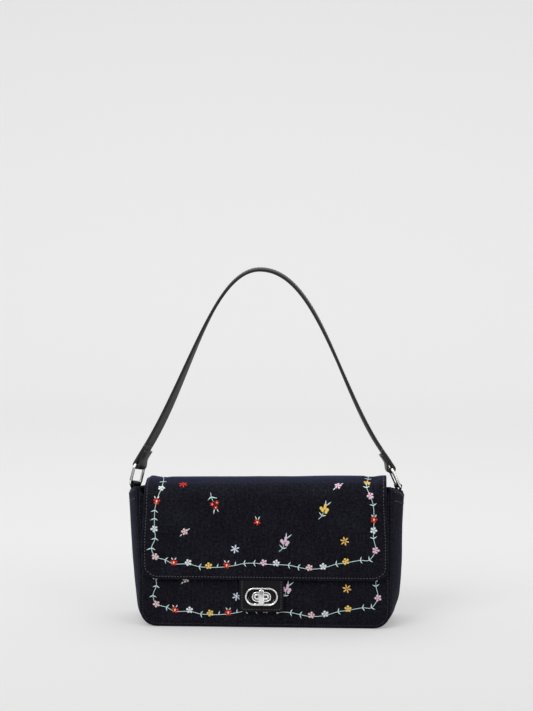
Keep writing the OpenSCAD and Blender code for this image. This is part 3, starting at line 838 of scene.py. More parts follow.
def build_panels():
    seam_in = 3.0
    low = panel_t * math.tan(lean)
    rows = panel_rows(panel_w, low, panel_h, corner_r, 2.2)
    d = panel_distance(panel_w, low, panel_h, corner_r)

    def relief(x, v, side):
        if side:
            return -panel_lift(x, v, 1.5) * 0.9
        return -0.22 * hump(d(x, v), seam_in, 1.0) * (1 + pucker(x + v))

    w, r = panel_w / 2 - seam_in, corner_r - seam_in
    foot = seam_in + low
    path = [(w, panel_h - seam_in)] + [(w, v) for v in steps(panel_h - 2 * seam_in, corner_r, 50)]
    path += arc(w - r, foot + r, r, -9, -90, -9) + [(0.0, foot)]
    mouth = [(x, panel_h - seam_in) for x in steps(-w, w, 60)]
    sizes = {"pitch": 2.8, "lift": -0.08, "r": 0.26}
    for name, skin in (("front", front_skin), ("back", back_skin)):
        panel = shell(name + "_panel_cloth", rows, d, skin, panel_t, DENIM, relief=relief)
        ride(panel, "bag", "denim", name + "_panel")
        parts = mirrored_seam(path, skin, **sizes) + seam(mouth, skin, **sizes)
        ride(make_object(name + "_panel_stitches", *merge(parts), DARK_THREAD), "bag", "denim")


def gusset_path(high, step=2.5):
    """Places down the gusset: (length along it, z, x at the panels' edge, outward x, outward z)."""
    path = []
    for z in steps(high, corner_r, round((high - corner_r) / step)):
        path.append((high - z, z, panel_w / 2, 1.0, 0.0))
    for degrees in range(9, 91, 9):
        a = math.radians(degrees)
        path.append((high - corner_r + corner_r * a, corner_r * (1 - math.sin(a)),
                     panel_w / 2 - corner_r * (1 - math.cos(a)), math.cos(a), -math.sin(a)))
    return path


def gusset_rise(z, v):
    """The gusset's rim stands up towards the front, where the flap's corner holds the bag open."""
    return mouth_rise * smooth((-v - 0.2) / 0.8) * raised(z)


def gusset_out(z, v, turn):
    """How far the gusset bulges out of the panels' edge at v across it, from -1 to 1."""
    fold = gusset_fold * hump(v, 0.0, 0.28) * smooth((z - 60) / 60)
    fullness = (gusset_bulge + side_fullness) * math.sqrt(max(z, 0) / body_h)
    return fullness * turn * turn * (1 - v * v) ** 0.9 - fold


def gusset_more(z, v, sign):
    """What each side stands out further: the left one at its mouth, the right one near its bottom."""
    if sign < 0:
        return mouth_spread * opened(z) * max(0.0, -v) ** 3
    return right_fullness * smooth((z - 14) / 14) * (1 - smooth((z - 35) / 70)) * (1 - v * v)


def side_strip(name, material, deep, thick, inset, high, low=None, relief=None, rise=0.0):
    """A strip that runs down the left gusset, under the base and up the right one, or with low set,
    the two upper stretches of such a strip as a list."""
    path = [p for p in gusset_path(high) if low is None or p[1] >= low - 1e-6]
    cross = [math.sin(math.pi / 2 * t) for t in steps(-1, 1, 24)]
    strips = [[[(*p, v, sign) for v in cross] for p in path] for sign in (-1, 1)]
    if low is None:
        left, right = strips
        reach = panel_w / 2 - corner_r
        middle = []
        for t in steps(0, 1, round(2 * reach / 4))[1:-1]:
            middle.append([(path[-1][0] + reach * 2 * t, 0.0, reach * (1 - 2 * t), 0.0, -1.0, v, -1)
                           for v in cross])
        strips = [left + middle + list(reversed(right))]
    objects = []
    for number, rows in enumerate(strips):
        points, flat = [], []
        for side in (0, 1):
            for along, z, x, ox, oz, v, sign in (spot for row in rows for spot in row):
                half = half_depth(max(z, 0)) - inset
                from_rim = along if low is None else min(along, abs(z - low) + 1e-6)
                drop = rolled(max(0.0, min(from_rim, (1 - abs(v)) * half)), thick / 2)
                height = -deep - (thick - drop if side else drop)
                if relief is not None:
                    height += relief(along, z, v, side)
                out = gusset_out(z, v, ox) if abs(ox) > 0 else 0.0
                out = max(out + gusset_more(z, v, sign), 0.0) + height
                up = gusset_rise(z, v) + rise * smooth((-oz - 0.5) / 0.5)
                points.append(vec(sign * (x + ox * out), v * half, max(0.0, z + oz * out + up)))
                flat.append((v * half, along, height))
        suffix = ("_left", "_right")[number] if low is not None else ""
        faces = sheet_faces(len(rows), len(cross))
        objects.append(make_object(name + suffix, points, faces, material, flat=flat))
    return objects


def build_sides():
    inset = panel_t / math.cos(lean) + layer_gap
    hem_stitches = (3.0, 11.0)

    def hem_relief(along, z, v, side):
        if side:
            return 0.0
        return -0.3 * hump(along, hem_stitches[1], 1.0) + 0.1 * ripple(along, v * 30, 2.2, 12)

    strip = side_strip("side_and_base_cloth", DENIM_BLUE, 0.0, panel_t, inset, body_h, relief=hem_relief)[0]
    ride(strip, "bag", "denim", "gusset_left", "gusset_right", "base_panel")
    inner = max(lining_t, facing_t)
    inner_inset = (lining_y + inner) / math.cos(lean) + layer_gap
    lining = side_strip("side_and_base_lining", LINING, lining_y, lining_t, inner_inset,
                        body_h - hem_h - layer_gap, rise=base_lining_z - lining_y)[0]
    ride(lining, "bag", "lining", "lining_left", "lining_right", "lining_base")
    hems = side_strip("hem_cloth", DENIM_BLUE, lining_y, facing_t, inner_inset, body_h, low=body_h - hem_h)
    for side, hem in zip(("left", "right"), hems):
        ride(hem, "bag", "denim", "hem_" + side)
    parts = []
    for sign in (-1, 1):
        def on_gusset(across, along, height=0.0, sign=sign):
            z = body_h - along
            half = half_depth(z) - inset
            v = across / half
            out = gusset_out(z, v, 1.0) + (mouth_spread * max(0.0, -v) ** 3 if sign < 0 else 0.0)
            x = sign * (panel_w / 2 + out + height)
            return vec(x, v * half, z + gusset_rise(z, v))
        reach = half_depth(body_h) - inset - 1.5
        for row in hem_stitches:
            parts += seam([(a, row) for a in steps(-reach, reach, 30)], on_gusset, lift=-0.05)
    ride(make_object("gusset_hem_stitches", *merge(parts), SEAM_THREAD), "bag", "denim")


def build_lining():
    edge = lining_y + layer_gap
    w = panel_w - 2 * edge
    facing_z = panel_h - facing_h

    for name, frame_of in (("front", on_front), ("back", on_back)):
        def inside(x, v, height=0.0, frame_of=frame_of):
            p = frame_of(x, v, -lining_y + height)
            p[0] += spread(x, v) if frame_of is on_front else 0.0
            return p

        def relief(x, v, side):
            return -0.12 * abs(ripple(x, v, 4.4, 11)) if side else 0.0

        high = facing_z - layer_gap
        rows = panel_rows(w, edge, high, corner_r - edge, 3.0)
        d = panel_distance(w, edge, high, corner_r - edge)
        ride(shell(name + "_lining_cloth", rows, d, inside, lining_t, LINING, relief=relief),
             "bag", "lining", "lining_" + name)
        rows = flat_rows(w, 3.0, facing_z, panel_h, 2.0)

        def rim(x, v, w=w):
            return min(w / 2 - abs(x), v - facing_z, panel_h - v)
        facing = shell(name + "_facing_cloth", rows, rim, inside, facing_t, DENIM)
        ride(facing, "bag", "denim", "facing_" + name)


# The zip pocket on the back lining. A place's height stands off the lining, into the bag.
def on_pocket(x, v, height=0.0):
    return on_back(x, v, -pocket_y - height)


def build_pocket():
    ply, space, r = 0.8, 1.2, 6.0
    sizes = {"pitch": 2.6, "r": 0.22}
    hem_in, hem_r, tape_in = 2.0, 4.0, 1.6
    low, high = pocket_bottom, zip_z - tape_w / 2 - layer_gap
    distance = panel_distance(pocket_w, low, high, r)

    def cloth(x, v, height=0.0):
        full = smooth((distance(x, v) - 1) / 9) if v < high - 10 else smooth((pocket_w / 2 - abs(x) - 1) / 9)
        body = ply + space * full * smooth((high - v) / 10 + 0.2) + 0.3 * full * ripple(x, v, 6.1, 17)
        return on_pocket(x, v, body + height)

    pocket = shell("zip_pocket_cloth", panel_rows(pocket_w, low, high, r, 2.6), distance, cloth, ply, LINING)
    ride(pocket, "bag", "lining", "zip_pocket")
    w = pocket_w / 2 - hem_in
    hem = [(w, v) for v in steps(high - 1, low + r, 20)]
    hem += arc(w - hem_r, low + r, hem_r, -10, -90, -10) + [(0.0, low + hem_in)]
    parts = mirrored_seam(hem, cloth, **sizes)

    # The tape lies on the lining and is sewn down on both sides of the teeth
    tape_t = 0.6
    rows = flat_rows(pocket_w, 2.6, zip_z - tape_w / 2, zip_z + tape_w / 2, 1.2)

    def rim(x, v):
        return min(pocket_w / 2 - abs(x), tape_w / 2 - abs(v - zip_z))

    def tape(x, v, height=0.0):
        return on_pocket(x, v, tape_t + height)
    ride(shell("zip_tape_cloth", rows, rim, tape, tape_t, TAPE), "bag", "lining", "zip_tape")
    for side in (-1, 1):
        row = zip_z + side * (tape_w / 2 - tape_in)
        path = [(x, row) for x in steps(-pocket_w / 2 + 1, pocket_w / 2 - 1, 80)]
        parts += seam(path, tape, **sizes)
    ride(make_object("zip_pocket_stitches", *merge(parts), DARK_THREAD), "bag", "lining")

    # The teeth: two rows of small waisted blocks that take turns along the chain
    teeth = []
    pitch = 1.3
    count = int(zip_l / pitch)
    outline = [(-0.34, -1.3), (0.34, -1.3), (0.42, -0.5), (0.3, 0.2), (0.5, 0.75), (0.3, 1.25),
               (-0.3, 1.25), (-0.5, 0.75), (-0.3, 0.2), (-0.42, -0.5)]
    for k in range(count):
        sign = 1 if k % 2 else -1
        x0 = -zip_l / 2 + pitch * (k + 0.5)
        points = []
        for height, size in ((tape_t, 1.0), (tape_t + 1.15, 1.0), (tape_t + 1.4, 0.7)):
            for x, v in outline:
                points.append(on_pocket(x0 + x * size, zip_z + sign * (-0.6 + v * size), height))
        teeth.append((points, loft_faces(3, len(outline))))
    chain = make_object("zip_teeth", *merge(teeth), METAL, shade=False)
    ride(chain, "bag", "metal", "zip_chain")


def build_lock_patch():
    """A round of leather over the lock's clip, on the front lining."""
    r, thick, round_r, sides = 9.0, 0.8, 0.7, 48
    layers = [(inset, pocket_y + depth) for inset, depth in round_layers(round_r, 0.0, thick)]
    layers += [(1.5, pocket_y + thick - 0.2), (2.4, pocket_y + thick), (r - 0.5, pocket_y + thick + 0.3)]
    points = [lock_place(x, v, -depth) for inset, depth in layers for x, v in circle(r - inset, sides)]
    patch = make_object("lock_patch_leather", points, loft_faces(len(layers), sides), TAB_LEATHER)
    ride(patch, "bag", "leather", "lock_patch")

    def face(x, v, height=0.0):
        return lock_place(x, v, -pocket_y - thick + 0.1 - height)
    parts = seam(arc(0.0, 0.0, r - 1.5, 0, 360, 8), face, pitch=2.4, r=0.22)
    ride(make_object("lock_patch_stitches", *merge(parts), DARK_THREAD), "bag", "leather")


# Strap, rings and tabs, as in the part
lean_in = {-1: math.radians(10), 1: math.radians(24)}
splay = {-1: math.radians(31), 1: math.radians(34)}
twist = {-1: math.radians(26), 1: math.radians(11)}
level_pull = {-1: 46.0, 1: 56.0}
straight_pull = {-1: 80.0, 1: 75.0}
crown_x = -6.0
bore_r = wire_r + 0.3
loop_r = bore_r + loop_t
end_loop_t = 2.6
end_r = bore_r + end_loop_t
end_l = fold_l + 2.0
foot_gap = 2.5
twist_start = 0.35
SIDES = ((-1, "left"), (1, "right"))


def face_dir(s, d, a):
    return math.cos(a) * vec(s * -d[2], 0, s * d[0]) + math.sin(a) * vec(0, 1, 0)


def width_dir(s, d, a):
    return math.cos(a) * vec(0, 1, 0) - math.sin(a) * vec(s * -d[2], 0, s * d[0])


def leg_dir(s):
    return vec(s * math.sin(splay[s]), 0, -math.cos(splay[s]))


def wire_dir(s):
    return width_dir(s, leg_dir(s), twist[s])


def ring_up(s):
    up = vec(-s * math.sin(lean_in[s]), 0, math.cos(lean_in[s]))
    w = wire_dir(s)
    return unit(up - (up @ w) * w)


def ring_foot(s):
    return vec(s * ring_x, 0, body_h + loop_r + foot_gap)


def ring_head(s):
    return ring_foot(s) + ring_h * ring_up(s)


def leg_foot(s):
    return ring_head(s) - end_l * leg_dir(s) + (end_r - strap_t / 2) * face_dir(s, leg_dir(s), twist[s])


def strap_route(s):
    crown = vec(crown_x, 0, strap_top - strap_t / 2)
    foot = leg_foot(s)
    return [crown, crown + vec(s * level_pull[s], 0, 0), foot - straight_pull[s] * leg_dir(s), foot]


def strap_frame(s, t):
    """The ribbon's frame at t: centre, outward face, width, thickness and no hollow."""
    p = strap_route(s)
    c = (1 - t) ** 3 * p[0] + 3 * t * (1 - t) ** 2 * p[1] + 3 * t * t * (1 - t) * p[2] + t ** 3 * p[3]
    d = (1 - t) ** 2 * (p[1] - p[0]) + 2 * t * (1 - t) * (p[2] - p[1]) + t * t * (p[3] - p[2])
    flat = unit(vec(d[0], 0, d[2]))
    a = twist[s] * smooth((t - twist_start) / (1 - twist_start))
    return c, face_dir(s, flat, a), width_dir(s, flat, a), strap_t, 0.0


def leather_ribbon(name, frames, r=0.9, weld=False):
    """A strap along frames of a centre, a face direction, a width direction, a thickness and a hollow.
    It is black leather outside, dull inside, and its rounded edges are painted."""
    points, kinds = [], []
    for c, n, across, t, hollow in frames:
        for u, v in rounded_box(t / 2, strap_w / 2, r, 30):
            points.append(c + n * (u - hollow * v * v) + across * v)
            kinds.append(math.copysign(1.0, u) if abs(v) < strap_w / 2 - 0.6 else 0.0)
    faces = loft_faces(len(frames), 16)
    obj = make_object(name, points, faces, LEATHER, SUEDE, EDGE_PAINT, weld=weld)
    for polygon in obj.data.polygons:
        mean = sum(kinds[v] for v in polygon.vertices) / len(polygon.vertices)
        polygon.material_index = 0 if mean > 0.6 else 1 if mean < -0.6 else 2
    return obj


def strap_all_frames(count):
    left = [strap_frame(-1, 1 - i / count) for i in range(count)]
    return left + [strap_frame(1, i / count) for i in range(count + 1)]


def strap_stitches(frames, inset, lift, pitch=3.2):
    """Two rows of stitches along a strap's edges."""
    parts = []
    lengths = [0.0]
    for before, after in zip(frames, frames[1:]):
        lengths.append(lengths[-1] + np.linalg.norm(after[0] - before[0]))

    def at(s):
        f = float(np.interp(s, lengths, range(len(frames))))
        i = min(int(f), len(frames) - 2)
        return [frames[i][m] * (1 - f + i) + frames[i + 1][m] * (f - i) for m in range(3)]

    for edge in (inset - strap_w / 2, strap_w / 2 - inset):
        for k in range(int(lengths[-1] / pitch)):
            c0, n0, w0 = at(k * pitch + 0.4)
            c1, n1, w1 = at((k + 1) * pitch - 0.4)
            a, b = c0 + n0 * lift + w0 * edge, c1 + n1 * lift + w1 * edge
            parts.append(stitch(a, b, unit(n0 + n1), 0.26))
    return parts


def strap_end_frames(s):
    """The strap's end: down the outer side, round the ring's upper wire and back up inside."""
    d, w, head = leg_dir(s), wire_dir(s), ring_head(s)
    n = face_dir(s, d, twist[s])
    fold_t = end_loop_t
    mid = end_r - strap_t / 2
    frames = [(head - d * z + n * mid, n, w, strap_t, 0.0) for z in steps(end_l, 0, 10)]
    for degrees in range(15, 180, 15):
        a = math.radians(degrees)
        out = n * math.cos(a) + d * math.sin(a)
        t = strap_t + (fold_t - strap_t) * a / math.pi
        frames.append((head + out * (end_r - t / 2), out, w, t, 0.0))
    inner_face = end_r - strap_t - fold_t
    for z in steps(0, fold_l - fold_short, 10):
        pull = smooth(z / (2 * end_r))
        centre = (-end_r + fold_t / 2) * (1 - pull) + (inner_face + fold_t / 2) * pull
        frames.append((head - d * z + n * centre, -n, w, fold_t, 0.0))
    return frames


def fold_stitches(s):
    """Two rows of four stitches across the fold, on both faces, and a row down each edge."""
    d, w, head = leg_dir(s), wire_dir(s), ring_head(s)
    n = face_dir(s, d, twist[s])
    rows, across_step, down_step, first, edge = (6.5, 15.0), 2.9, 2.2, -5.4, 5.6
    outer, inner = end_r + 0.02, 0.02 - (end_r - strap_t - end_loop_t)
    parts = []
    for z in rows:
        for face, lift in ((n, outer), (-n, inner)):
            for k in range(4):
                a = head - d * z + face * lift + w * (first + across_step * k)
                parts.append(stitch(a, a + w * 2.1, face, 0.28))
    for sign in (-1, 1):
        for k in range(4):
            a = head - d * (rows[0] + down_step * k) + n * outer + w * sign * edge
            parts.append(stitch(a, a - d * 2.0, n, 0.28))
    return parts


def build_strap():
    frames = strap_all_frames(60)
    strap = leather_ribbon("strap_leather", frames)
    ride(strap, "strap", "leather", "strap_crown", "strap_leg_left", "strap_leg_right")
    parts = strap_stitches(frames, 1.9, strap_t / 2 - 0.05)
    ride(make_object("strap_stitches", *merge(parts), DARK_THREAD), "strap", "leather")
    for s, side in SIDES:
        ends = [ring_head(s) - leg_dir(s) * along for along in (end_l, 2.0)]
        fold = leather_ribbon("strap_fold_" + side, strap_end_frames(s), 0.85, True)
        bend(fold, "strap", "ring_" + side, *ends, "leather", "strap_end_" + side)
        knots = make_object("strap_fold_stitches_" + side, *merge(fold_stitches(s)), DARK_THREAD)
        bend(knots, "strap", "ring_" + side, *ends, "leather")


def build_rings():
    for s, side in SIDES:
        w, up, foot = wire_dir(s), ring_up(s), ring_foot(s)
        outline = rounded_box(ring_w / 2 + wire_r, ring_h / 2, ring_corner, 15, ring_h / 2)
        path = [foot + w * u + up * v for u, v in outline]
        ring = make_object("ring_wire_" + side, *closed_wire(path, wire_r, 20, np.cross(w, up)), METAL)
        ride(ring, "ring_" + side, "metal", "ring_" + side)


def tab_frames(s, inside):
    """A ring tab's frames, in through the hem, round the ring's lower wire and back down."""
    w, up, foot = wire_dir(s), ring_up(s), ring_foot(s)
    out = s * np.cross(w, up)
    outward, across = vec(s, 0, 0), vec(0, 1, 0)
    ply = loop_t / 2
    mid_r = bore_r + 0.3 + ply / 2
    frames = []
    for z in steps(body_h - tab_l, body_h - 1, 8):
        c, hollow = inside(z, 0)
        frames.append((c, outward, across, ply, hollow))
    top, first = frames[-1][0], frames[0][4]
    for t in (0.25, 0.5, 0.75):
        frames.append((top * (1 - t) + (foot + out * mid_r) * t, unit(outward * (1 - t) + out * t),
                       unit(across * (1 - t) + w * t), ply, first * (1 - t)))
    for degrees in range(0, 196, 15):
        a = math.radians(degrees)
        n = out * math.cos(a) + up * math.sin(a)
        frames.append((foot + n * mid_r, n, w, ply, 0.0))
    low, hollow = inside(body_h - 1, 1)
    last = frames[-1][0]
    for t in (0.25, 0.5, 0.75):
        frames.append((last * (1 - t) + low * t, unit(-outward * t + frames[-1][1] * (1 - t)),
                       unit(across * t + w * (1 - t)), ply, -hollow * t))
    for z in steps(body_h - 1, body_h - tab_l + 2, 8):
        c, hollow = inside(z, 1)
        frames.append((c, -outward, across, ply, -hollow))
    return frames


def build_tabs():
    """A strip of leather runs up inside the gusset's hem, round the ring's lower wire and back down."""
    ply = loop_t / 2
    tab_deep = lining_y + max(lining_t, facing_t) + layer_gap
    edge, pitch = 5.6, 2.7
    for s, side in SIDES:
        def inside(z, layer, s=s):
            """A frame of a ply inside the hem, which it follows round the gusset's bulge."""
            reach = strap_w / 2 / half_depth(z)
            hollow = gusset_out(z, 0, 1.0) - gusset_out(z, reach, 1.0)
            x = panel_w / 2 + gusset_out(z, 0, 1.0) - tab_deep - ply * (layer + 0.5)
            return vec(s * x, 0, z), hollow / (strap_w / 2) ** 2

        tab = leather_ribbon("ring_tab_" + side, tab_frames(s, inside))
        start = (s * ring_x, 0, body_h - 1)
        bend(tab, "bag", "strap", start, ring_foot(s) - vec(0, 0, 2.0), "leather", "tab_" + side)
        outward = vec(s, 0, 0)
        parts = []
        for sign in (-1, 1):
            for k in range(6):
                first, hollow = inside(body_h - 4.0 - pitch * k, 2)
                last = inside(body_h - 6.0 - pitch * k, 2)[0]
                aside = vec(-s * (0.02 + 31.0 * hollow), sign * edge, 0) + outward * ply / 2
                parts.append(stitch(first + aside, last + aside, -outward, 0.26))
        ride(make_object("ring_tab_stitches_" + side, *merge(parts), DARK_THREAD), "bag", "leather")


# Turn lock
def stadium_path(w, h, count=16):
    end = (w - h) / 2
    path = []
    for centre, a0 in ((end, -90), (-end, 90)):
        for k in range(count + 1):
            a = math.radians(a0 + 180 * k / count)
            path.append((centre + h / 2 * math.cos(a), h / 2 * math.sin(a), math.cos(a), math.sin(a)))
    return path


def lock_place(x, v, height):
    return on_front(lock_x + x, lock_z + v, height)


def stadium_points(w, h, layers):
    """Stadium outlines one after the other: layers are (inset, height) from the back to the front."""
    return [lock_place(x - nx * inset, v - nv * inset, height)
            for inset, height in layers for x, v, nx, nv in stadium_path(w, h)]


def stadium_object(name, w, h, layers, material, ring=False):
    points = stadium_points(w, h, layers)
    return make_object(name, points, loft_faces(len(layers), len(points) // len(layers), ring), material)


def round_layers(r, low, high):
    """Layers of a block from low to high whose front rim is rounded to r."""
    return [(0.0, low)] + [(r - x, high - r + y) for x, y in arc(0.0, 0.0, r, 0, 90)]


def pin(x, r, sides, high, low):
    """A round pin between two heights."""
    points = [lock_place(x + u, v, height) for height in (high, low) for u, v in circle(r, sides)]
    return points, loft_faces(2, sides)


def build_lock():
    flap_edge = flap_bottom / math.cos(lean) + front_out * math.tan(lean)
    build_tab_leather(lock_tab_bottom, flap_edge, flap_edge + tongue_l)

    # The eyelet: a domed rim that turns in through the tab
    crest, throat, foot = 0.8, eyelet_rim + 0.75, flap_gap + 0.05
    layers = [(0.0, lock_tab_out), (0.0, rim_out - crest)]
    layers += [(crest - x, rim_out - crest + y) for x, y in arc(0.0, 0.0, crest, 15, 105)]
    layers += [(1.5, rim_out - 0.55), (2.1, rim_out - 1.5), (2.6, lock_tab_out), (throat, lock_tab_out - 0.9),
               (throat, foot), (eyelet_rim, foot), (eyelet_rim, lock_tab_out)]
    eyelet = stadium_object("eyelet_rim", eyelet_w, eyelet_h, layers, METAL, ring=True)
    ride(eyelet, "flap_front", "metal", "eyelet")

    layers = round_layers(0.3, 0.0, 0.6)
    flange = stadium_object("lock_flange", plinth_w + 7, plinth_h + 2, layers, BLACK_METAL_AND_SHADE)
    ride(flange, "bag", "metal")
    # The plinth's front, as insets and depths
    groove = [(0.7, 0.0), (1.0, 0.2), (1.2, 1.3), (1.9, 1.3), (2.1, 0.35), (2.5, 0.1), (3.1, 0.0), (3.6, 0.1),
              (3.8, 0.9), (4.6, 0.9)]
    layers = round_layers(0.6, 0.1, plinth_out) + [(inset, plinth_out - deep) for inset, deep in groove]
    plinth = stadium_object("lock_plinth", plinth_w, plinth_h, layers, METAL)
    ride(plinth, "bag", "metal", "lock_plate")
    # Painted shade: black floors in the two grooves, standing in for the shade that falls there
    for name, near, far, deep in (("outer", 1.15, 1.95, 1.25), ("inner", 3.75, 4.9, 0.85)):
        top = plinth_out - deep
        layers = [(near, top - 0.3), (near, top), (far, top), (far, top - 0.3)]
        floor = stadium_object("lock_groove_shade_" + name, plinth_w, plinth_h, layers, BLACK_METAL_AND_SHADE, ring=True)
        ride(floor, "bag", "metal")
    prongs = [pin(sign * (plinth_w / 2 + 1), 1, 16, 0.1, -panel_t - 0.5) for sign in (-1, 1)]
    ride(make_object("lock_prongs", *merge(prongs), METAL), "bag", "metal")
    build_turn_bar()


def build_turn_bar():
    """A rounded bar whose lower rim turns in further, on its spindle. It stands upright."""
    r = 1.2
    layers = [(0.9, bar_out)]
    layers += [((r - x) * 0.75, bar_out + r - y) for x, y in arc(0.0, 0.0, r, 75, 0, -15)]
    layers += [(r - x, bar_out + bar_t - r + y) for x, y in arc(0.0, 0.0, r, 0, 90)]
    layers.append((bar_w / 2 - 0.1, bar_out + bar_t + 0.1))
    path = stadium_path(bar_l, bar_w)
    points = []
    for inset, height in layers:
        for v, x, nv, nx in path:
            crown = 0.0044 * v * v + 0.06 * max(0.0, v - 3.0) if height > bar_out + 1 else 0.0
            points.append(lock_place(x - nx * inset, v - nv * inset, height - crown))
    parts = [(points, loft_faces(len(layers), len(path))), pin(0.0, 1.5, 24, bar_out + 0.5, -3.6)]
    ride(make_object("turn_bar_metal", *merge(parts), METAL), "turn_bar", "metal", "turn_bar")


def tab_hole(x, v):
    """Where the way from the eyelet's middle to a place on the tab crosses the rim of its hole."""
    hole_w, hole_h = eyelet_w - 2 * eyelet_rim + 0.4, eyelet_h - 2 * eyelet_rim + 0.4
    end = (hole_w - hole_h) / 2
    a = math.atan2(v - lock_z, x)
    ray = vec(math.cos(a), math.sin(a))
    reach = hole_h / 2 / max(abs(ray[1]), 1e-6)
    if abs(ray[0] * reach) > end:
        b = abs(ray[0]) * end
        reach = b + math.sqrt(max(0.0, b * b - end * end + (hole_h / 2) ** 2))
    return ray[0] * reach, lock_z + ray[1] * reach


def build_tab_leather(low, edge, high):
    """The lock tab, as rings of points from its outline in to the eyelet's hole."""
    w, r, count = lock_tab_w, lock_tab_r, 12
    top, inset = edge - 0.2, 2.6
    outline = [(w / 2, v) for v in steps(top, low + r, count)]
    outline += arc(w / 2 - r, low + r, r, -15, -75, -15)
    outline += [(x, low) for x in steps(w / 2 - r, r - w / 2, 2 * count)]
    outline += arc(r - w / 2, low + r, r, -105, -165, -15)
    outline += [(-w / 2, v) for v in steps(low + r, top, count)]
    outline += [(x, top) for x in steps(-w / 2, w / 2, 2 * count)[1:-1]]
    inward = [0.0, 0.03, 0.08, 0.2, 0.4, 0.6, 0.8, 0.95, 1.0]
    points = []
    for side, order in ((0, inward), (1, list(reversed(inward)))):
        for q in order:
            for x, v in outline:
                hole_x, hole_v = tab_hole(x, v)
                gap = math.hypot(x - hole_x, v - hole_v)
                drop = rolled(q * gap, 0.9) if q < 0.5 else rolled((1 - q) * gap, 0.5)
                groove = 0.25 * hump(q * gap, inset, 0.7)
                height = flap_gap + drop if side else lock_tab_out - drop - groove
                points.append(on_front(lock_x + x + (hole_x - x) * q, v + (hole_v - v) * q, height))
    tab = make_object("lock_tab_leather", points, loft_faces(2 * len(inward), len(outline), ring=True),
                      TAB_LEATHER)
    ride(tab, "flap_front", "leather", "lock_tab")
    rows = flat_rows(w, 3.0, edge - 1, high, 2.0)

    def rim(x, v):
        return min(w / 2 - abs(x), high - v, v - edge + 1)

    def place(x, v, height=0.0):
        return on_front(lock_x + x, v, height + flap_gap + flap_lining_t)
    ride(shell("lock_tab_tongue", rows, rim, place, flap_lining_t, TAB_LEATHER), "flap_front", "leather")

    def skin(x, v, height=0.0):
        return on_front(lock_x + x, v, height + lock_tab_out)
    path = [(w / 2 - inset, v) for v in steps(edge - 1, low + r, 12)]
    path += arc(w / 2 - r, low + r, r - inset, -15, -90, -15) + [(0.0, low + inset)]
    parts = mirrored_seam(path, skin, pitch=2.6, gap=0.7, r=0.3, lift=-0.2)
    ride(make_object("lock_tab_stitches", *merge(parts), SEAM_THREAD), "flap_front", "leather")


# Embroidery. The design is laid out flat, in millimetres across from the middle and up from the edge.
THREADS = {
    "mint": (212, 240, 237),
    "red": (214, 18, 26),
    "cream": (255, 236, 170),
    "white": (240, 246, 250),
    "pale": (214, 232, 210),
    "blue": (222, 232, 248),
    "pink": (244, 204, 224),
    "rose": (242, 212, 218),
    "peach": (250, 214, 176),
    "lilac": (228, 200, 220),
    "mustard": (250, 204, 112),
    "yellow": (250, 214, 110),
    "rust": (168, 88, 36),
}
FLOWERS = {
    "red": ("red", "cream"), "white": ("white", "pale"), "pale": ("white", "pale"),
    "pink": ("pink", "lilac"), "rose": ("rose", "peach"), "yellow": ("yellow", "mustard"),
}
# The border in its order along the vine: what sits there, and its place
BORDER = (
    ("vine", -104, 178), ("leaves", -104, 168), ("white", -103, 156), ("leaves", -105, 145),
    ("vine", -104, 132), ("vine", -102, 119), ("leaves", -101.3, 106.5), ("white", -102, 92.8),
    ("red", -106.2, 77.8), ("leaves", -108, 68.8), ("leaves", -108.4, 60.8), ("pale", -108.5, 50.2),
    ("leaves", -107.7, 41), ("leaves", -111.1, 31.2), ("rose", -107.7, 22.5), ("leaves", -98.1, 19.5),
    ("red", -89.5, 15.5), ("white", -75.2, 15.5), ("leaves", -64.6, 13), ("yellow", -55.1, 12.5),
    ("leaf", -46.9, 12.5), ("red", -37.4, 13.3), ("leaf", -29.2, 14.7), ("leaves", -20.6, 16.6),
    ("leaves", -11, 17.2), ("pink", -1, 16.3), ("white", 11.2, 16), ("leaves", 23, 15.5),
    ("leaves", 32.4, 13.7), ("rose", 43.7, 11.7), ("pale", 57.2, 13), ("leaves", 69.5, 16.8),
    ("yellow", 79.4, 18.3), ("leaves", 93.3, 21), ("leaves", 102.2, 21.2), ("pink", 108.5, 31),
    ("leaves", 106.5, 42.5), ("white", 106.4, 50.8), ("red", 106.7, 61.5), ("leaves", 106, 75.2),
    ("pink", 102.9, 84.8), ("leaves", 99.4, 92.5), ("yellow", 99.8, 99.5), ("leaves", 100.7, 109.2),
    ("leaves", 101, 120), ("vine", 101, 131), ("leaves", 102, 143), ("pink", 104, 155),
    ("leaves", 105, 167), ("vine", 104, 178),
)
SCATTER = (
    ("star", "red", -81, 97.2, 10), ("berries", "red", -49.1, 74.8, 0), ("sprig", "red", -7.4, 58, 0),
    ("lone", "rose", -78.7, 47.8, 15), ("star", "blue", -29.2, 31, -10), ("bunch", "lilac", 19.3, 39, 0),
    ("bunch", "yellow", 57.8, 71.5, 0), ("star", "mustard", 78.2, 40, 15), ("lone", "pink", 71.3, 94.5, -10),
)

# What grows from a motif's middle: a stem's path, and leaves as a root, a direction and a length
STEMS = {
    "berries": ((-1.5, 3.0), (-3.6, 7.6), (-3.8, 9.2), (-4.2, 13.2)),
    "bunch": ((-0.4, -2.4), (-1.4, -6.2), (-3.4, -8.6), (-6.2, -10.4)),
}
LEAVES = {
    "lone": ((-2.6, -2.6, 225, 3.0), (2.9, 1.6, 35, 2.8)),
    "sprig": ((-0.6, 2.6, 115, 3.6), (0.8, 2.6, 60, 3.6)),
    "berries": ((-3.6, 7.6, -12, 6.2), (-3.6, 7.8, 228, 4.6), (-0.3, -4.4, 260, 5.0), (2.2, -4.6, 300, 3.0)),
    "bunch": ((1.6, 4.4, 86, 4.4), (2.6, 3.4, 40, 6.0), (-1.6, -6.8, 132, 5.0), (-1.8, -7.0, 12, 4.2)),
}


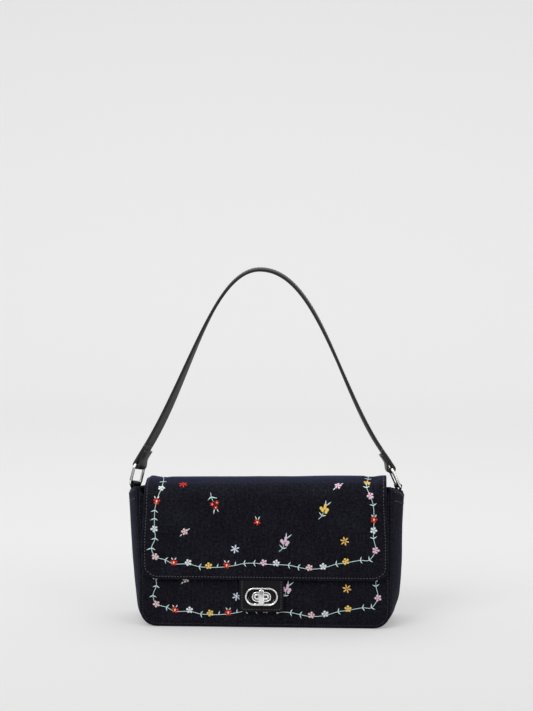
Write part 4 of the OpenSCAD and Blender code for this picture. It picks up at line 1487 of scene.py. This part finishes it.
def turned(root, angle, along, side):
    """A flat place that lies along and to the side of a direction from a root."""
    c, s = math.cos(angle), math.sin(angle)
    return root[0] + c * along - s * side, root[1] + s * along + c * side


class Sewing:
    """Threads laid on a surface, kept apart by colour and by which of two pieces they lie on."""

    def __init__(self, place, parting=1e9):
        self.place = place
        self.parting = parting
        self.parts = {}
        self.random = random.Random(4)

    def thread(self, colour, path, r=0.3, rise=0.22, base=0.05):
        """One thread along flat points, arched over its middle and drawn in at both ends."""
        points = []
        count = len(path) - 1
        for i, (u, v) in enumerate(path):
            bow = math.sin(math.pi * i / count)
            width = r * (0.45 + 0.55 * min(1.0, bow * 2.2))
            before, after = path[max(0, i - 1)], path[min(count, i + 1)]
            du, dv = after[0] - before[0], after[1] - before[1]
            size = math.hypot(du, dv) or 1.0
            cu, cv = -dv / size * width, du / size * width
            for c, s in circle(1, 6):
                points.append(self.place(u + cu * c, v + cv * c, base + rise * bow + width * s * 0.9))
        far = path[len(path) // 2][1] > self.parting
        self.parts.setdefault((colour, far), []).append((points, loft_faces(len(path), 6)))

    def line(self, colour, a, b, **sizes):
        """A straight thread from a to b."""
        du, dv = b[0] - a[0], b[1] - a[1]
        self.thread(colour, [(a[0] + du * t, a[1] + dv * t) for t in steps(0, 1, 4)], **sizes)

    def petal(self, colour, centre, angle, size, strands=6):
        """A round petal of threads side by side, which point at the flower's middle."""
        reach, half, wide = 2.6 * size, 1.6 * size, 1.24 * size
        for k in range(strands):
            j = 2 * k / (strands - 1) - 1
            bow = half * math.sqrt(1 - 0.8 * j * j) * (1 + self.random.uniform(-0.05, 0.05))
            near = turned(centre, angle, reach - bow, j * wide * 0.66)
            far = turned(centre, angle, reach + bow, j * wide)
            self.line(colour, near, far, r=wide / strands * 1.25, rise=0.25, base=0.1)

    def dot(self, colour, centre, r):
        """A raised knot of short parallel threads."""
        for k in range(5):
            j = (k - 2) / 2.4
            half = r * math.sqrt(1 - j * j)
            v = centre[1] + j * r
            self.line(colour, (centre[0] - half, v), (centre[0] + half, v), r=r * 0.26, rise=0.22, base=0.38)

    def flower(self, kind, centre, turn=0.0, size=0.86):
        petals, eye = FLOWERS[kind]
        for k in range(5):
            self.petal(petals, centre, math.radians(90 + turn + 72 * k), size)
        self.dot(eye, centre, 1.15 * size)

    def star(self, colour, centre, turn=0.0):
        eye = {"blue": "white", "mustard": "rust", "red": "red"}[colour]
        for k in range(6):
            angle = math.radians(30 + turn + 60 * k)
            for j, reach in ((-1, 4.0), (0, 4.6), (1, 4.0)):
                near, far = turned(centre, angle, 0.7, 0.15 * j), turned(centre, angle, reach, 0.5 * j)
                self.line(colour, near, far, r=0.3, rise=0.2, base=0.08)
        self.dot(eye, centre, 0.8)

    def leaf(self, root, angle, length=4.0, width=0.6):
        """Three threads side by side, which spread in their middle."""
        for j in (-1, 0, 1):
            path = []
            for t in steps(0, 1, 5):
                side = j * width / 2 * math.sin(math.pi * min(1.0, t * 1.15 + 0.04))
                path.append(turned(root, angle, length * t, side))
            self.thread("mint", path, r=0.23, rise=0.12, base=0.06)

    def stem(self, path):
        """Stem stitch: short threads that overlap along a path."""
        length, at = follow(path)
        pitch, long, s = 2.1, 3.3, 0.0
        while s + long < length + 0.01:
            first, mid, last = at(s), at(s + long / 2), at(s + long)
            du, dv = last[0] - first[0], last[1] - first[1]
            size = math.hypot(du, dv)
            cu, cv = -dv / size * 0.13, du / size * 0.13
            a, b = (first[0] - cu, first[1] - cv), (last[0] + cu, last[1] + cv)
            near = ((a[0] + mid[0]) / 2, (a[1] + mid[1]) / 2)
            past = ((b[0] + mid[0]) / 2, (b[1] + mid[1]) / 2)
            self.thread("mint", [a, near, mid, past, b], r=0.27, rise=0.1)
            s += pitch

    def motif(self, kind, colour, centre, turn):
        u, v = centre
        if kind == "star":
            self.star(colour, centre, turn)
        elif kind == "lone":
            self.flower(colour, centre, turn)
        elif kind == "sprig":
            self.flower(colour, centre, 36, 0.8)
        elif kind == "berries":
            for du, dv in ((-2.5, 0.3), (2.1, 2.1), (1.0, -2.8)):
                self.flower(colour, (u + du, v + dv), 36 * du, 0.55)
        elif kind == "bunch":
            for du, dv in ((-2.7, 0.7), (-1.2, -1.2), (0.9, 1.0), (1.5, 3.6), (3.4, -0.8), (2.0, -2.9)):
                self.dot(colour, (u + du, v + dv), 1.6)
        if kind in STEMS:
            self.stem([(u + du, v + dv) for du, dv in STEMS[kind]])
        for du, dv, degrees, length in LEAVES.get(kind, ()):
            self.leaf((u + du, v + dv), math.radians(degrees), length)

    def border(self, entries):
        places = [vec(u, v) for _, u, v in entries]
        path = []
        for i in range(len(places) - 1):
            p0, p1 = places[max(0, i - 1)], places[i]
            p2, p3 = places[i + 1], places[min(len(places) - 1, i + 2)]
            for k in range(8):
                t = k / 8
                q = 0.5 * (2 * p1 + (p2 - p0) * t + (2 * p0 - 5 * p1 + 4 * p2 - p3) * t * t
                           + (3 * p1 - p0 - 3 * p2 + p3) * t ** 3)
                path.append(tuple(q))
        path.append(tuple(places[-1]))
        self.stem(path)
        for i, (kind, u, v) in enumerate(entries):
            ahead = places[min(len(places) - 1, i + 1)] - places[max(0, i - 1)]
            angle = math.atan2(ahead[1], ahead[0])
            if kind in FLOWERS:
                above = 1.5 if abs(math.cos(angle)) > 0.8 else 0.0
                self.flower(kind, (u, v + above), self.random.uniform(-25, 25))
                if kind == "red":
                    for lean_to in (60, 120):
                        self.leaf((u + 2.2 * math.cos(math.radians(lean_to)), v + above + 2.7),
                                  math.radians(lean_to), 2.6, 0.8)
            elif kind != "vine":
                for degrees in ((60, -60) if kind == "leaves" else (70,)):
                    self.leaf((u, v), angle + math.radians(degrees))

    def objects(self, name):
        """One mesh for each of the two pieces, with a material for each colour."""
        made = {}
        for far in sorted({f for _, f in self.parts}):
            colours = sorted(c for c, f in self.parts if f == far)
            pieces = [merge(self.parts[(colour, far)]) for colour in colours]
            points, faces = merge(pieces)
            kinds = [index for index, piece in enumerate(pieces) for _ in piece[1]]
            made[far] = add_mesh(name + ("_back" if far else "_front"), np.asarray(points) * MM, faces,
                                 [thread_of(colour) for colour in colours])
            made[far].data.polygons.foreach_set("material_index", kinds)
        return made


threads = {}


def thread_of(colour):
    if colour not in threads:
        threads[colour] = thread_material("thread_" + colour, linear(*THREADS[colour]))
    return threads[colour]


def build_embroidery():
    flap = Sewing(on_flap, parting=lid_seam)
    flap.border(BORDER)
    for kind, colour, u, v, turn in SCATTER:
        flap.motif(kind, colour, (u, v), turn)
    made = flap.objects("flap_embroidery")
    bend(made[False], *FRONT_BEND, "denim")
    bend(made[True], *LID_BEND, "denim")

    # The front panel has the same design, a little wider
    front = Sewing(front_skin)
    wider, shift, highest = 1.01, 1.6, 112.0
    front.border([(kind, u * wider + shift, v) for kind, u, v in BORDER if v < highest])
    for kind, colour, u, v, turn in SCATTER:
        front.motif(kind, colour, (u * wider + shift, v), turn)
    ride(front.objects("panel_embroidery")[False], "bag", "denim")


# Stage
def sweep_material():
    """A grey sweep that glows a little to the camera and takes soft shadows."""
    n = Nodes(bpy.data.materials.new("sweep"))
    path = n.add("ShaderNodeLightPath")
    seen = n.math("MAXIMUM", path.outputs["Is Camera Ray"], path.outputs["Is Glossy Ray"])
    away = n.add("ShaderNodeSeparateXYZ", {0: n.where()}).outputs[1]
    level = n.ramp(n.math("MULTIPLY_ADD", away, 0.4, 0.2),
                   (0.08, (0.238,) * 3), (0.344, (0.354,) * 3), (1.0, (0.427,) * 3))
    glow = n.add("ShaderNodeEmission", {"Color": level, "Strength": seen})
    matte = n.add("ShaderNodeBsdfDiffuse", {"Color": (0.42, 0.42, 0.42, 1)})
    return n.surface(n.add("ShaderNodeAddShader", {0: glow.outputs[0], 1: matte.outputs[0]}))


def make_room():
    """The room is bright above and dim towards the horizon, which gives polished metal its contrast."""
    world = bpy.context.scene.world or bpy.data.worlds.new("world")
    bpy.context.scene.world = world
    n = Nodes(world, "ShaderNodeOutputWorld")
    split = n.add("ShaderNodeSeparateXYZ", {0: n.add("ShaderNodeTexCoord").outputs["Generated"]})
    up = n.add("ShaderNodeMapRange", {
        "Value": split.outputs["Z"], "From Min": -0.1, "From Max": 0.75, "To Min": 0.12, "To Max": 0.95,
    }, interpolation_type="SMOOTHSTEP")
    room = n.add("ShaderNodeBackground", {"Color": (1, 1, 1, 1), "Strength": up.outputs[0]})
    shown = n.add("ShaderNodeBackground", {"Color": (*linear(231, 231, 231), 1)})
    seen = n.add("ShaderNodeLightPath").outputs["Is Camera Ray"]
    n.surface(n.add("ShaderNodeMixShader", {0: seen, 1: room.outputs[0], 2: shown.outputs[0]}))


def make_stage():
    size, depth, r = 3.0, 1.2, 0.9
    rows = [(y, 0.0) for y in steps(-size, depth, 20)]
    for a in steps(0, math.pi / 2, 19)[1:]:
        rows.append((depth + r * math.sin(a), r * (1 - math.cos(a))))
    rows.append((depth + r, 3.4))
    points = [(x, y, z - 0.0002) for y, z in rows for x in (-size, size)]
    add_mesh("floor", points, grid_faces(len(rows), 2), [sweep_material()])
    make_room()
    bpy.context.scene.view_settings.view_transform = "Standard"

    make_light("key", (-1.1, -1.6, 1.9), (0, 0, 0.1), (1.2, 1.2), 26)
    make_light("fill", (1.6, -1.5, 1.1), (0, 0, 0.1), (1.2, 1.4), 9)
    make_light("top", (0.0, 0.4, 2.2), (0, 0, 0.1), (1.6, 1.2), 14)


make_stage()
build_panels()
build_sides()
build_lining()
build_pocket()
build_flap()
build_embroidery()
build_strap()
build_rings()
build_tabs()
build_lock()
build_lock_patch()

KEPT = ("lock_back_plate", "lock_spring_washer", "spindle_clip", "eyelet_washer", "zip_stops", "zip_slider",
        "zip_puller", "base_board")
for node in KEPT:
    for slot in frame["nodes"][node].material_slots:
        slot.material = BOARD if node == "base_board" else METAL
